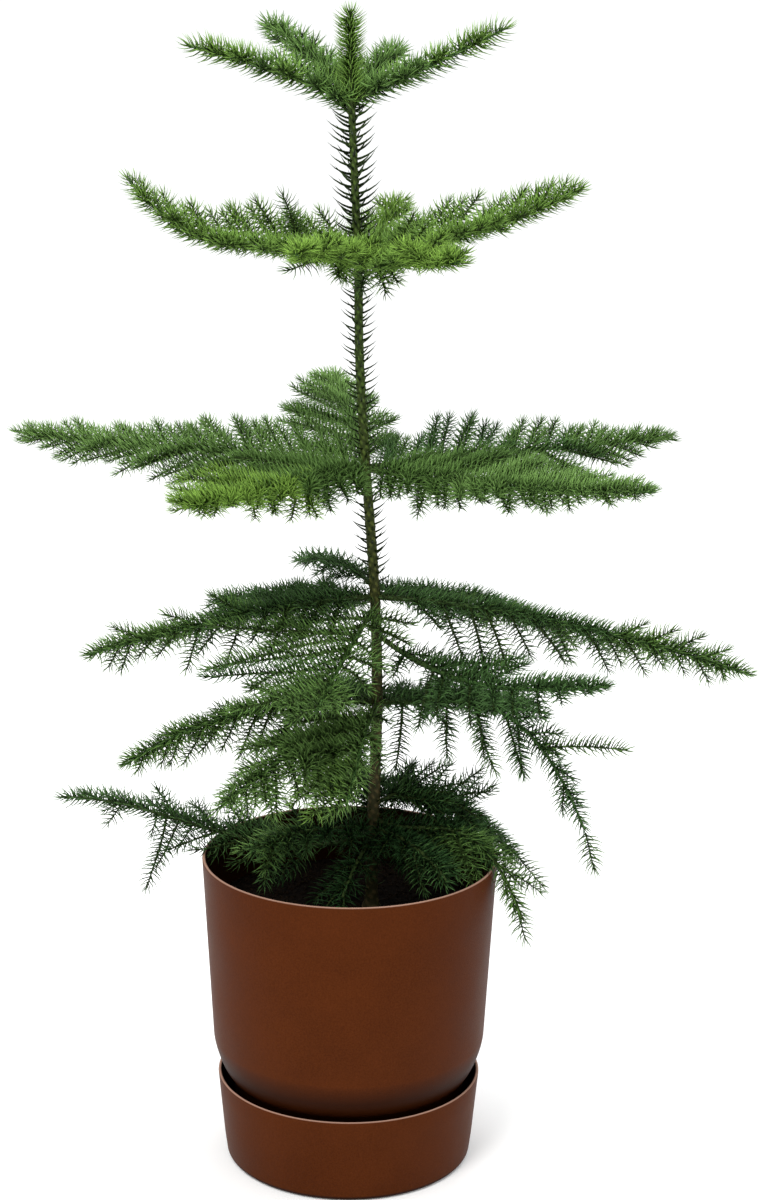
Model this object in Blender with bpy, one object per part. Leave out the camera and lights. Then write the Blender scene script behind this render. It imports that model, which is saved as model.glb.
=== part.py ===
# Norfolk island pine: a young tree in a round plastic pot that stands in its own saucer.
# Metres, +Z up. The origin is the centre of the saucer's underside.
# Azimuths are degrees from +X towards +Y. Pitches and lifts are degrees above the level.
# A bough's left and right are those of someone who looks outward from the trunk.

from collections import namedtuple
from math import ceil, cos, degrees, pi, radians, sin, tan
import random

import bmesh
import bpy
from mathutils import Vector
from mathutils.bvhtree import BVHTree

SEED = 11
SEAT_GAP = 0.0003  # between two pieces that meet
UP = Vector((0, 0, 1))

# Saucer
SAUCER_HEIGHT = 0.0586
SAUCER_RIM_RADIUS = 0.0878
SAUCER_BASE_RADIUS = 0.0822
SAUCER_EDGE_ROUND = 0.004
SAUCER_WALL = 0.0020
SAUCER_FLOOR = 0.0030

# Pot
POT_TOP = 0.2100
POT_RIM_RADIUS = 0.0975
POT_WALL = 0.0022
POT_FLOOR = 0.0040
SHOULDER_RADIUS = 0.0906  # where the straight wall ends and the pot draws in
SHOULDER_TOP = 0.0860
NECK_TOP = 0.0540
NECK_RADIUS = 0.0775
NECK_FOOT_RADIUS = 0.0740
SHOULDER_FULLNESS = 1.4  # exponent of the shoulder's curve: 1 is a cone, 2 a quarter ellipse
SHOULDER_STEPS = 4
TURNED_SIDES = 32

# Soil
SOIL_TOP = 0.1720
SOIL_CROWN = 0.0015  # the middle stands this much above the edge

# Trunk: (x, y, z) of its middle line from the cut at soil level up to the tip
TRUNK_LINE = (
    (0.0145, 0.000, SOIL_TOP + SOIL_CROWN + SEAT_GAP),
    (0.0150, 0.000, 0.227),
    (0.0170, 0.000, 0.313),
    (0.0152, 0.000, 0.384),
    (0.0087, 0.000, 0.471),
    (0.0042, 0.000, 0.540),
    (0.0027, 0.000, 0.604),
    (-0.0018, 0.000, 0.698),
    (-0.0031, 0.000, 0.7535),
)
TRUNK_ROOT_RADIUS = 0.0040
TRUNK_TOP_RADIUS = 0.0022  # at the topmost whorl
TRUNK_TIP_RADIUS = 0.0006
ROOT_FLARE = 0.0024  # added to the radius at the cut
ROOT_FLARE_HEIGHT = 0.010
TRUNK_SIDES = 8
TRUNK_RINGS = 18

# Boughs and their foliage
LEAST_BOUGH_RADIUS = 0.0012
BOUGH_SLENDERNESS = 0.0030  # radius added at the foot for each metre of reach
BOUGH_SIDES = 5
BOUGH_RINGS = 3
STEM_SIDES = 4
STEM_TIP_RADIUS = 0.0010
STEM_SPACING = 0.045  # longest stretch of a stem between two rings
STEM_BEND = 20  # most degrees that a stem turns between two rings
TIP_SPRAY = 0.030
TIP_SPRAY_SUNK = 0.0015  # how far a stem reaches past the foot of its tip spray
SPRAY_ANGLE = 56  # between a bough and its side sprays at the bough's foot
SPRAY_ANGLE_TIP = 40
SPRAY_WIDTH = 0.0120
SPRAY_THICKNESS = 0.0024
# Each tooth of a blade: how far along and out its point lies, then the notch behind it
TWO_TEETH = ((0.54, 1.0, 0.46, 0.38), (0.86, 0.8, 0.80, 0.25))
ONE_TOOTH = ((0.66, 1.0, 0.56, 0.30),)
TWO_TOOTH_LENGTH = 0.026  # blades at least this long have two teeth on each side
SPRAY_NECK = 0.55  # half width of a spray's neck, in radii of its stem
SPRAY_NECK_LENGTH = 1.9  # how far the neck reaches out from the stem's middle line, in those radii
SPRAY_SUNK = 0.3  # how far the neck starts behind that line, in those radii
CLEARANCE = 0.0008  # least space kept between two masses
SHORTEST_SPRAY = 0.010
SHRINKS = (1.0, 0.8, 0.62)  # lengths tried for a spray before it is skipped

# Leader: the foliage round the trunk's tip
LEADER_FOOT = 0.7075
LEADER_TOP = 0.7580
LEADER_RADIUS = 0.0046
LEADER_SIDES = 6
LEADER_RINGS = 3
LEADER_SPRAYS_PER_RING = 3
LEADER_SPRAY_LENGTH = 0.0145
LEADER_SPRAY_LIFT = 52
LEADER_CROWN_LENGTH = 0.0095

# One bough of a whorl. bare is the share of its reach that stands clear of foliage, as a limb of
# its own; where it is 0 the foliage's own stem meets the trunk. swing turns the bough sideways
# towards its tip, in degrees. spray is the longest side spray, left and right their lifts.
Bough = namedtuple("Bough", "name foot azimuth reach rise pitch tip_pitch bare spray pairs left right swing")

BOUGHS = (
    # first whorl, under the leader
    Bough("t1_left", 0.699, 187, 0.106, 0.036, 26, 14, 0, 0.022, 3, 10, 20, 0),
    Bough("t1_back_left", 0.700, 122, 0.112, 0.044, 30, 12, 0, 0.020, 2, 15, 15, 0),
    Bough("t1_right", 0.700, 355, 0.100, 0.049, 26, 30, 0, 0.020, 3, 20, 10, 0),
    Bough("t1_back_right", 0.699, 68, 0.086, 0.030, 28, 10, 0, 0.018, 2, 15, 15, 0),
    Bough("t1_back", 0.693, 100, 0.045, 0.030, 40, 30, 0, 0.012, 1, 15, 15, 0),
    # second whorl
    Bough("t2_left", 0.604, 181, 0.149, 0.057, 15, 55, 0, 0.034, 4, 4, 34, 0),
    Bough("t2_front_left", 0.606, 250, 0.112, 0.014, 6, 10, 0, 0.032, 3, 12, 12, 0),
    Bough("t2_front_right", 0.601, 303, 0.118, 0.014, 8, 8, 0, 0.032, 4, 12, 12, 0),
    Bough("t2_right", 0.606, 357, 0.144, 0.047, 6, 30, 0, 0.034, 4, 32, 2, 0),
    Bough("t2_back", 0.604, 76, 0.110, 0.026, 10, 10, 0, 0.030, 3, 12, 12, 0),
    # third whorl
    Bough("t3_left", 0.471, 163, 0.250, 0.008, 6, 6, 0.16, 0.052, 6, -8, 22, 0),
    Bough("t3_front_left", 0.471, 224, 0.152, -0.004, 4, 2, 0.20, 0.055, 5, 2, 2, 0),
    Bough("t3_front_right", 0.470, 322, 0.222, 0.017, 0, 10, 0.16, 0.050, 5, 8, -6, 0),
    Bough("t3_right", 0.471, 18, 0.217, 0.010, 4, 4, 0.16, 0.050, 5, 24, -4, 0),
    Bough("t3_back", 0.472, 97, 0.205, 0.026, 10, 6, 0.18, 0.055, 4, 10, 10, 0),
    # fourth whorl
    Bough("t4_right", 0.386, 349, 0.247, -0.038, 0, -16, 0.14, 0.046, 5, -14, -40, 0),
    Bough("t4_back", 0.392, 108, 0.185, -0.026, 6, -16, 0.20, 0.050, 3, -10, -10, 0),
    Bough("t4_back_left", 0.383, 142, 0.145, -0.025, 4, -16, 0.20, 0.046, 3, -20, -10, 0),
    Bough("t4_left", 0.386, 194, 0.193, -0.029, 0, -12, 0.16, 0.052, 5, -26, -4, 0),
    Bough("t4_front", 0.379, 256, 0.150, -0.030, -6, -14, 0.20, 0.070, 4, 2, 2, 0),
    Bough("t4_front_right", 0.362, 319, 0.192, 0.003, -26, 15, 0.18, 0.050, 4, 4, -20, 0),
    Bough("t4_back_right", 0.386, 50, 0.185, -0.055, -2, -26, 0.18, 0.048, 4, -16, -16, 0),
    # fifth whorl
    Bough("t5_left", 0.315, 190, 0.171, -0.039, 6, -34, 0.18, 0.044, 4, -36, -6, 0),
    Bough("t5_front_left", 0.307, 229, 0.150, -0.028, 4, -20, 0.20, 0.046, 3, -4, -4, 0),
    Bough("t5_front", 0.315, 268, 0.120, -0.034, 0, -24, 0.22, 0.042, 3, -6, -6, 0),
    Bough("t5_front_right", 0.316, 331, 0.156, -0.074, 0, -67, 0.18, 0.048, 4, 10, -50, 0),
    Bough("t5_back_right", 0.314, 42, 0.150, -0.030, 4, -20, 0.20, 0.044, 3, -14, -14, 0),
    Bough("t5_back", 0.313, 112, 0.150, -0.030, 4, -20, 0.20, 0.044, 3, -14, -14, 0),
    # sixth whorl, at the pot's mouth
    Bough("t6_left", 0.226, 172, 0.217, 0.011, -28, -8, 0.30, 0.050, 4, -46, 8, 0),
    Bough("t6_back_right", 0.244, 22, 0.109, -0.052, 31, -45, 0.20, 0.040, 3, -6, -6, 0),
    Bough("t6_right", 0.236, 342, 0.109, -0.075, -28, -72, 0, 0.030, 3, -20, -30, 0),
    Bough("t6_front_right", 0.228, 306, 0.088, -0.016, 10, -34, 0, 0.028, 3, -8, -8, 0),
    Bough("t6_front", 0.220, 262, 0.074, -0.018, 8, -26, 0, 0.024, 2, -6, -6, 0),
    Bough("t6_front_left", 0.228, 214, 0.098, 0.002, 16, -16, 0, 0.030, 3, -8, -8, 0),
    Bough("t6_back", 0.236, 98, 0.100, 0.004, 14, -12, 0, 0.032, 2, -6, -6, 0),
)


def clear_scene():
    for item in list(bpy.data.objects):
        bpy.data.objects.remove(item, do_unlink=True)


def material(name, colour, roughness, metallic=0.0):
    made = bpy.data.materials.new(name)
    made.use_nodes = True
    shader = made.node_tree.nodes["Principled BSDF"]
    shader.inputs["Base Color"].default_value = (*colour, 1)
    shader.inputs["Roughness"].default_value = roughness
    shader.inputs["Metallic"].default_value = metallic
    return made


def terracotta_plastic():
    return material("terracotta_plastic", (0.110, 0.038, 0.016), 0.55)


def potting_soil():
    return material("potting_soil", (0.020, 0.014, 0.010), 0.95)


def young_bark():
    return material("young_bark", (0.070, 0.052, 0.020), 0.80)


def needle_green(shade):
    shades = {
        "t1": (0.080, 0.190, 0.030),
        "t2": (0.100, 0.220, 0.035),
        "t3": (0.080, 0.180, 0.035),
        "t4": (0.035, 0.095, 0.030),
        "t5": (0.030, 0.085, 0.028),
        "t6": (0.025, 0.070, 0.024),
    }
    return material("needles_" + shade, shades[shade], 0.55)


def new_object(name, mesh, finish):
    made = bpy.data.objects.new(name, mesh)
    made.data.materials.append(finish)
    bpy.context.scene.collection.objects.link(made)
    return made


def mesh_from(name, points, faces):
    mesh = bpy.data.meshes.new(name)
    mesh.from_pydata([tuple(point) for point in points], [], faces)
    mesh.update()
    return mesh


def smooth_by_angle(mesh, degrees):
    mesh.shade_smooth()
    mesh.set_sharp_from_angle(angle=radians(degrees))


def turned(name, profile, finish):
    """A body turned round the Z axis from (radius, height) points that start and end on the axis."""
    bm = bmesh.new()
    verts = [bm.verts.new((radius, 0, height)) for radius, height in profile]
    edges = [bm.edges.new(pair) for pair in zip(verts, verts[1:])]
    bmesh.ops.spin(bm, geom=verts + edges, axis=UP, cent=(0, 0, 0), angle=2 * pi, steps=TURNED_SIDES,
                   use_merge=True)
    bmesh.ops.remove_doubles(bm, verts=bm.verts, dist=0.00001)
    bmesh.ops.recalc_face_normals(bm, faces=bm.faces)
    mesh = bpy.data.meshes.new(name)
    bm.to_mesh(mesh)
    bm.free()
    smooth_by_angle(mesh, 40)
    return new_object(name, mesh, finish)


def make_saucer(finish):
    edge = SAUCER_EDGE_ROUND
    base = SAUCER_BASE_RADIUS
    rounded = [(base - edge + edge * sin(turn), edge - edge * cos(turn))
               for turn in (0, radians(35), radians(65), pi / 2)]
    lip = SAUCER_RIM_RADIUS - SAUCER_WALL
    inner_base = base - SAUCER_WALL - 0.001
    profile = [(0, 0), *rounded, (SAUCER_RIM_RADIUS, SAUCER_HEIGHT), (lip, SAUCER_HEIGHT),
               (inner_base, SAUCER_FLOOR + 0.002), (inner_base - 0.002, SAUCER_FLOOR), (0, SAUCER_FLOOR)]
    return turned("saucer", profile, finish)


def shoulder(shrink):
    """The wall's curve from the shoulder down to the neck, drawn in by shrink, top first."""
    points = []
    for step in range(SHOULDER_STEPS + 1):
        down = step / SHOULDER_STEPS
        across = (1 - down ** SHOULDER_FULLNESS) ** (1 / SHOULDER_FULLNESS)
        radius = NECK_RADIUS + (SHOULDER_RADIUS - NECK_RADIUS) * across
        points.append((radius - shrink, SHOULDER_TOP + (NECK_TOP - SHOULDER_TOP) * down))
    return points


def make_pot(finish):
    foot = SAUCER_FLOOR + SEAT_GAP
    outside = [(POT_RIM_RADIUS, POT_TOP), *shoulder(0), (NECK_FOOT_RADIUS, foot), (0, foot)]
    inside = [(POT_RIM_RADIUS - POT_WALL, POT_TOP), *shoulder(POT_WALL),
              (NECK_FOOT_RADIUS - POT_WALL, foot + POT_FLOOR), (0, foot + POT_FLOOR)]
    return turned("pot", outside[::-1] + inside, finish)


def pot_inner_radius(height):
    """Radius of the pot's straight inner wall at a height above the shoulder."""
    share = (height - SHOULDER_TOP) / (POT_TOP - SHOULDER_TOP)
    return SHOULDER_RADIUS + (POT_RIM_RADIUS - SHOULDER_RADIUS) * share - POT_WALL


def make_soil(finish):
    """The soil fills the pot: a turned body a little inside the wall, its top a low crown."""
    bottom = SAUCER_FLOOR + SEAT_GAP + POT_FLOOR + SEAT_GAP
    side = shoulder(POT_WALL + 2 * SEAT_GAP)[::2]
    edge = pot_inner_radius(SOIL_TOP) - 2 * SEAT_GAP
    profile = [(0, bottom), (NECK_FOOT_RADIUS - POT_WALL - 0.001, bottom), *side[::-1],
               (edge, SOIL_TOP - SOIL_CROWN), (edge * 0.6, SOIL_TOP), (0.022, SOIL_TOP + SOIL_CROWN),
               (0, SOIL_TOP + SOIL_CROWN)]
    return turned("soil", profile, finish)


def trunk_point(height):
    """The middle of the trunk at a height, on a smooth curve through TRUNK_LINE."""
    line = [Vector(point) for point in TRUNK_LINE]
    last = len(line) - 2
    span = next((i for i in range(last + 1) if height <= line[i + 1].z), last)
    before = line[max(span - 1, 0)]
    start, end = line[span], line[span + 1]
    after = line[min(span + 2, last + 1)]
    share = (height - start.z) / (end.z - start.z)
    slope_in = (end - before) * ((end.z - start.z) / (end.z - before.z))
    slope_out = (after - start) * ((end.z - start.z) / (after.z - start.z))
    two, three = share ** 2, share ** 3
    point = (start * (2 * three - 3 * two + 1) + slope_in * (three - 2 * two + share)
             + end * (3 * two - 2 * three) + slope_out * (three - two))
    point.z = height
    return point


def trunk_radius(height):
    foot, whorl, tip = TRUNK_LINE[0][2], TRUNK_LINE[-2][2], TRUNK_LINE[-1][2]
    if height > whorl:
        share = (height - whorl) / (tip - whorl)
        return TRUNK_TOP_RADIUS + (TRUNK_TIP_RADIUS - TRUNK_TOP_RADIUS) * share
    radius = TRUNK_ROOT_RADIUS + (TRUNK_TOP_RADIUS - TRUNK_ROOT_RADIUS) * (height - foot) / (whorl - foot)
    flare = max(0.0, 1 - (height - foot) / ROOT_FLARE_HEIGHT)
    return radius + ROOT_FLARE * flare ** 2


def tube(middles, headings, radii, sides):
    """Points and faces of a tube round a line of points, each ring square to its heading."""
    points, faces = [], []
    count = len(middles)
    side = headings[0].orthogonal().normalized()
    for middle, ahead, radius in zip(middles, headings, radii):
        side = (side - ahead * side.dot(ahead)).normalized()
        over = ahead.cross(side)
        for k in range(sides):
            turn = 2 * pi * k / sides
            points.append(middle + (side * cos(turn) + over * sin(turn)) * radius)
    for i in range(count - 1):
        for k in range(sides):
            a, b = i * sides + k, i * sides + (k + 1) % sides
            faces.append((a, b, b + sides, a + sides))
    faces.append(tuple(range(sides))[::-1])
    faces.append(tuple(range((count - 1) * sides, count * sides)))
    return points, faces


def trunk_heights():
    """Heights of the trunk's rings, close together at its flared foot."""
    foot, tip = TRUNK_LINE[0][2], TRUNK_LINE[-1][2]
    flare = [foot + ROOT_FLARE_HEIGHT * share for share in (0, 0.25, 0.6, 1)]
    above = flare[-1]
    return flare + [above + (tip - above) * (i + 1) / TRUNK_RINGS for i in range(TRUNK_RINGS)]


def make_trunk(finish):
    heights = trunk_heights()
    middles = [trunk_point(height) for height in heights]
    radii = [trunk_radius(height) for height in heights]
    points, faces = tube(middles, [UP] * len(heights), radii, TRUNK_SIDES)
    mesh = mesh_from("trunk", points, faces)
    smooth_by_angle(mesh, 50)
    return new_object("trunk", mesh, finish)


def outward(azimuth):
    return Vector((cos(radians(azimuth)), sin(radians(azimuth)), 0))


def bough_point(bough, share):
    """A point on a bough's middle line: a cubic in the bough's upright plane, swung sideways."""
    slope_in = tan(radians(bough.pitch)) * bough.reach
    slope_out = tan(radians(bough.tip_pitch)) * bough.reach
    two, three = share ** 2, share ** 3
    rise = (slope_in * (three - 2 * two + share) + bough.rise * (3 * two - 2 * three)
            + slope_out * (three - two))
    heading = outward(bough.azimuth + bough.swing * share)
    return trunk_point(bough.foot) + heading * bough.reach * share + UP * rise


def bough_heading(bough, share):
    step = 0.01
    return (bough_point(bough, min(share + step, 1.0)) - bough_point(bough, max(share - step, 0.0))).normalized()


def bough_start(bough):
    """The share of its reach at which a bough's foot stands clear of the trunk."""
    lean = abs(sin(radians(bough.pitch)))
    return (trunk_radius(bough.foot) + SEAT_GAP + foot_radius(bough) * lean) / bough.reach


def tip_start(bough):
    """The share of its reach at which a bough's tip spray starts."""
    share, tip = 1.0, bough_point(bough, 1.0)
    while (bough_point(bough, share) - tip).length < TIP_SPRAY:
        share -= 0.002
    return share


def foliage_point(bough, share):
    """A point on the middle line of a bough's foliage, which runs straight through its tip spray."""
    start = tip_start(bough)
    if share <= start:
        return bough_point(bough, share)
    return bough_point(bough, start).lerp(bough_point(bough, 1.0), (share - start) / (1 - start))


def foot_radius(bough):
    return LEAST_BOUGH_RADIUS + BOUGH_SLENDERNESS * bough.reach


def bough_radius(bough, share):
    return foot_radius(bough) + (STEM_TIP_RADIUS - foot_radius(bough)) * share


def make_limb(bough, finish):
    """The bare foot of a bough, one tapering limb up to its foliage."""
    start, count = bough_start(bough), BOUGH_RINGS
    shares = [start + (bough.bare - start) * i / (count - 1) for i in range(count)]
    middles = [bough_point(bough, share) for share in shares]
    headings = [bough_heading(bough, share) for share in shares]
    radii = [bough_radius(bough, share) for share in shares]
    mesh = mesh_from(bough.name, *tube(middles, headings, radii, BOUGH_SIDES))
    smooth_by_angle(mesh, 50)
    return new_object("bough_" + bough.name, mesh, finish)


def spray_blade(root, heading, across, length, stem_radius):
    """A toothed blade with a short square neck sunk into its stem. A short blade has one pair of teeth."""
    over = heading.cross(across).normalized()
    half = SPRAY_WIDTH / 2 * min(1.0, 0.55 + length / 0.06)
    neck = SPRAY_NECK * stem_radius
    start = root - heading * SPRAY_SUNK * stem_radius
    collar_at = (SPRAY_SUNK + SPRAY_NECK_LENGTH) * stem_radius
    teeth = ONE_TOOTH if length < TWO_TOOTH_LENGTH else TWO_TEETH

    def place(along, aside, above):
        return start + heading * along + across * aside + over * above

    points = [place(length, 0, 0)]
    for along, height in ((0, neck), (collar_at, max(neck, SPRAY_THICKNESS / 2))):
        points += [place(along, 0, height), place(along, neck, 0), place(along, 0, -height), place(along, -neck, 0)]
    for side in (1, -1):
        for tooth_along, tooth_out, notch_along, notch_out in teeth:
            points += [place(length * tooth_along, side * half * tooth_out, 0),
                       place(length * notch_along, side * half * notch_out, 0)]
    tip, foot, collar, edge = 0, 1, 5, 9
    faces = [(foot, foot + 1, foot + 2, foot + 3)]
    faces += [(foot + k, collar + k, collar + (k + 1) % 4, foot + (k + 1) % 4) for k in range(4)]
    for collar_side, mirrored in ((collar + 1, False), (collar + 3, True)):
        outline = [collar_side, *range(edge, edge + 2 * len(teeth)), tip]
        edge += 2 * len(teeth)
        for rib, below in ((collar, False), (collar + 2, True)):
            fan = [(rib, ahead, behind) for behind, ahead in zip(outline, outline[1:])]
            faces += [face[::-1] if mirrored != below else face for face in fan]
    return points, faces


def spray_length(bough, share):
    """Side sprays are longest a third of the way out and short at the tip."""
    profile = min(1.0, 0.55 + 1.6 * share) * (1 - share) ** 0.7 * 1.32
    return bough.spray * min(1.0, profile)


def planned_sprays(bough, dice):
    """Root, heading, width direction, length and stem radius of each side spray, from the foot outward."""
    plans = []
    first = max(bough.bare, bough_start(bough)) + 0.05
    for i in range(bough.pairs):
        for side in (-1, 1):
            share = first + (0.93 - first) * (i + (0.25 if side > 0 else -0.10)) / (bough.pairs - 0.6)
            share = min(max(share, first), 0.93)
            ahead = bough_heading(bough, share)
            aside = ahead.cross(UP).normalized() * side
            angle = radians(SPRAY_ANGLE + (SPRAY_ANGLE_TIP - SPRAY_ANGLE) * share + dice.uniform(-4, 4))
            level = ahead * cos(angle) + aside * sin(angle)
            lift = radians((bough.right if side > 0 else bough.left) + dice.uniform(-5, 5))
            heading = (level * cos(lift) + UP * sin(lift)).normalized()
            across = (ahead - heading * ahead.dot(heading)).normalized()
            length = spray_length(bough, share) * dice.uniform(0.92, 1.05)
            plans.append((foliage_point(bough, share), heading, across, length, bough_radius(bough, share)))
    return plans


def tree_of(points, faces):
    return BVHTree.FromPolygons([tuple(point) for point in points], faces)


def keeps_clear(body, taken, owner):
    """True where a body's surface stays CLEARANCE away from every body of another owner."""
    own = tree_of(*body)
    for other_owner, trees in taken.items():
        if other_owner == owner:
            continue
        for other in trees:
            if own.overlap(other):
                return False
            if any(other.find_nearest(point, CLEARANCE)[0] is not None for point in body[0]):
                return False
    return True


def apply_modifiers(item):
    graph = bpy.context.evaluated_depsgraph_get()
    graph.update()
    mesh = bpy.data.meshes.new_from_object(item.evaluated_get(graph))
    item.modifiers.clear()
    item.data = mesh


def join_all(item, pieces):
    """Joins the pieces to an object by one Boolean union on a collection, and removes them."""
    group = bpy.data.collections.new("pieces")
    bpy.context.scene.collection.children.link(group)
    for body in pieces:
        group.objects.link(bpy.data.objects.new("piece", mesh_from("piece", *body)))
    joined = item.modifiers.new("joined", "BOOLEAN")
    joined.operation = "UNION"
    joined.operand_type = "COLLECTION"
    joined.collection = group
    joined.solver = "EXACT"
    apply_modifiers(item)
    for piece in list(group.objects):
        bpy.data.objects.remove(piece, do_unlink=True)
    bpy.data.collections.remove(group)


def bodies_of(bm):
    """The connected bodies of a mesh, each a set of its vertices."""
    unseen, bodies = set(bm.verts), []
    while unseen:
        body, edge = set(), [unseen.pop()]
        while edge:
            vert = edge.pop()
            body.add(vert)
            linked = {link.other_vert(vert) for link in vert.link_edges} & unseen
            unseen -= linked
            edge += linked
        bodies.append(body)
    return bodies


def keep_main_body(item):
    """Drops loose scraps and sealed hollows that a union left beside the main surface."""
    bm = bmesh.new()
    bm.from_mesh(item.data)
    bodies = bodies_of(bm)
    main_body = max(bodies, key=len)
    rest = [vert for body in bodies if body is not main_body for vert in body]
    bmesh.ops.delete(bm, geom=rest, context="VERTS")
    bm.to_mesh(item.data)
    bm.free()


def bend_of(bough, start, end):
    """Degrees that a bough's middle line turns between two shares of its reach."""
    steps = 10
    headings = [bough_heading(bough, start + (end - start) * i / steps) for i in range(steps + 1)]
    return sum(degrees(before.angle(after)) for before, after in zip(headings, headings[1:]))


def stem_body(bough):
    """The stem of a mass, from its limb's end or from the trunk out to the bough's tip."""
    start = bough.bare + SEAT_GAP / bough.reach if bough.bare else bough_start(bough)
    end = tip_start(bough) + TIP_SPRAY_SUNK / TIP_SPRAY * (1 - tip_start(bough))
    length = (foliage_point(bough, end) - bough_point(bough, start)).length
    spans = max(ceil(length / STEM_SPACING), ceil(bend_of(bough, start, end) / STEM_BEND))
    shares = [start + (end - start) * i / spans for i in range(spans + 1)]
    middles = [foliage_point(bough, share) for share in shares]
    headings = [bough_heading(bough, share) for share in shares]
    radii = [bough_radius(bough, share) for share in shares]
    return tube(middles, headings, radii, STEM_SIDES)


def tip_blade(bough):
    """The blade that ends a bough's foliage and reaches its tip."""
    root = bough_point(bough, tip_start(bough))
    ahead = bough_point(bough, 1.0) - root
    heading = ahead.normalized()
    across = heading.cross(UP).normalized()
    return spray_blade(root, heading, across, ahead.length, STEM_TIP_RADIUS)


def mass_pieces(bough, taken, dice):
    """The side sprays of a mass that keep clear of every limb and of the other masses."""
    pieces = []
    for root, heading, across, length, stem_radius in planned_sprays(bough, dice):
        for shrink in SHRINKS:
            if length * shrink < SHORTEST_SPRAY:
                break
            blade = spray_blade(root, heading, across, length * shrink, stem_radius)
            if keeps_clear(blade, taken, bough.name):
                pieces.append(blade)
                break
    return pieces


def make_mass(bough, stem, pieces, finish):
    name = "foliage_" + bough.name
    item = new_object(name, mesh_from(name, *stem), finish)
    join_all(item, pieces)
    keep_main_body(item)


def leader_blades(dice):
    """Blades that point up and out round the leader's core, in rings, and one that ends it."""
    blades = []
    for ring in range(LEADER_RINGS):
        height = LEADER_FOOT + 0.003 + (LEADER_TOP - 0.020 - LEADER_FOOT) * ring / (LEADER_RINGS - 1)
        for k in range(LEADER_SPRAYS_PER_RING):
            azimuth = 360 * (k + 0.5 * (ring % 2)) / LEADER_SPRAYS_PER_RING + dice.uniform(-6, 6)
            lift = radians(LEADER_SPRAY_LIFT + dice.uniform(-5, 5))
            heading = outward(azimuth) * cos(lift) + UP * sin(lift)
            across = outward(azimuth + 90)
            root = trunk_point(height) + outward(azimuth) * (LEADER_RADIUS - 0.0016)
            blades.append(spray_blade(root, heading, across, LEADER_SPRAY_LENGTH, STEM_TIP_RADIUS))
    top = trunk_point(LEADER_TOP - LEADER_CROWN_LENGTH)
    for azimuth, lean in ((20, 0.10), (130, 0.22), (255, 0.28)):
        heading = (outward(azimuth) * lean + UP).normalized()
        root = top + outward(azimuth) * 0.0009
        blades.append(spray_blade(root, heading, outward(azimuth + 90), LEADER_CROWN_LENGTH, STEM_TIP_RADIUS))
    return blades


def cut_clear_of_trunk(item):
    """Takes the trunk's shape, a seat gap larger all round, out of a mass that the trunk runs up through."""
    tip = TRUNK_LINE[-1][2]
    heights = [height for height in trunk_heights() if height > LEADER_FOOT - 0.030] + [tip + 2 * SEAT_GAP]
    radii = [trunk_radius(min(height, tip)) + 1.5 * SEAT_GAP for height in heights]
    middles = [trunk_point(height) for height in heights]
    body = tube(middles, [UP] * len(heights), radii, TRUNK_SIDES)
    cutter = bpy.data.objects.new("trunk_cutter", mesh_from("trunk_cutter", *body))
    bpy.context.scene.collection.objects.link(cutter)
    cutter.hide_render = True
    cutter.display_type = "WIRE"
    cut = item.modifiers.new("trunk", "BOOLEAN")
    cut.operation = "DIFFERENCE"
    cut.object = cutter
    cut.solver = "EXACT"
    apply_modifiers(item)
    bpy.data.objects.remove(cutter, do_unlink=True)


def make_leader(blades, finish):
    """The leader's foliage: a slim core round the trunk's tip that toothed blades stand out of."""
    top = LEADER_TOP - 0.0025
    heights = [LEADER_FOOT + (top - LEADER_FOOT) * share for share in (0, 0.06, 0.55, 0.88, 1)]
    radii = [LEADER_RADIUS * 0.75, LEADER_RADIUS, LEADER_RADIUS, LEADER_RADIUS * 0.7, LEADER_RADIUS * 0.3]
    middles = [trunk_point(height) for height in heights]
    body = tube(middles, [UP] * len(heights), radii, LEADER_SIDES)
    item = new_object("foliage_leader", mesh_from("foliage_leader", *body), finish)
    join_all(item, blades)
    cut_clear_of_trunk(item)
    keep_main_body(item)


def tree_of_object(item):
    mesh = item.data
    points = [item.matrix_world @ vert.co for vert in mesh.vertices]
    return tree_of(points, [tuple(face.vertices) for face in mesh.polygons])


def main():
    clear_scene()
    dice = random.Random(SEED)
    plastic, soil, bark = terracotta_plastic(), potting_soil(), young_bark()
    greens = {whorl: needle_green(whorl) for whorl in ("t1", "t2", "t3", "t4", "t5", "t6")}
    solid = [make_saucer(plastic), make_pot(plastic), make_soil(soil), make_trunk(bark)]
    solid += [make_limb(bough, bark) for bough in BOUGHS if bough.bare]
    taken = {item.name: [tree_of_object(item)] for item in solid}

    stems = {bough.name: stem_body(bough) for bough in BOUGHS}
    pieces = {bough.name: [tip_blade(bough)] for bough in BOUGHS}
    for name, stem in stems.items():
        taken[name] = [tree_of(*stem), tree_of(*pieces[name][0])]
    blades = leader_blades(dice)
    taken["leader"] = [tree_of(*blade) for blade in blades]
    for bough in BOUGHS:
        placed = mass_pieces(bough, taken, dice)
        pieces[bough.name] += placed
        taken[bough.name] += [tree_of(*blade) for blade in placed]

    make_leader(blades, greens["t1"])
    for bough in BOUGHS:
        make_mass(bough, stems[bough.name], pieces[bough.name], greens[bough.name[:2]])


main()
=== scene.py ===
import random
from collections import namedtuple
from math import ceil, cos, exp, pi, radians, sin, tan

import bpy
from mathutils import Matrix, Vector, noise


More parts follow.
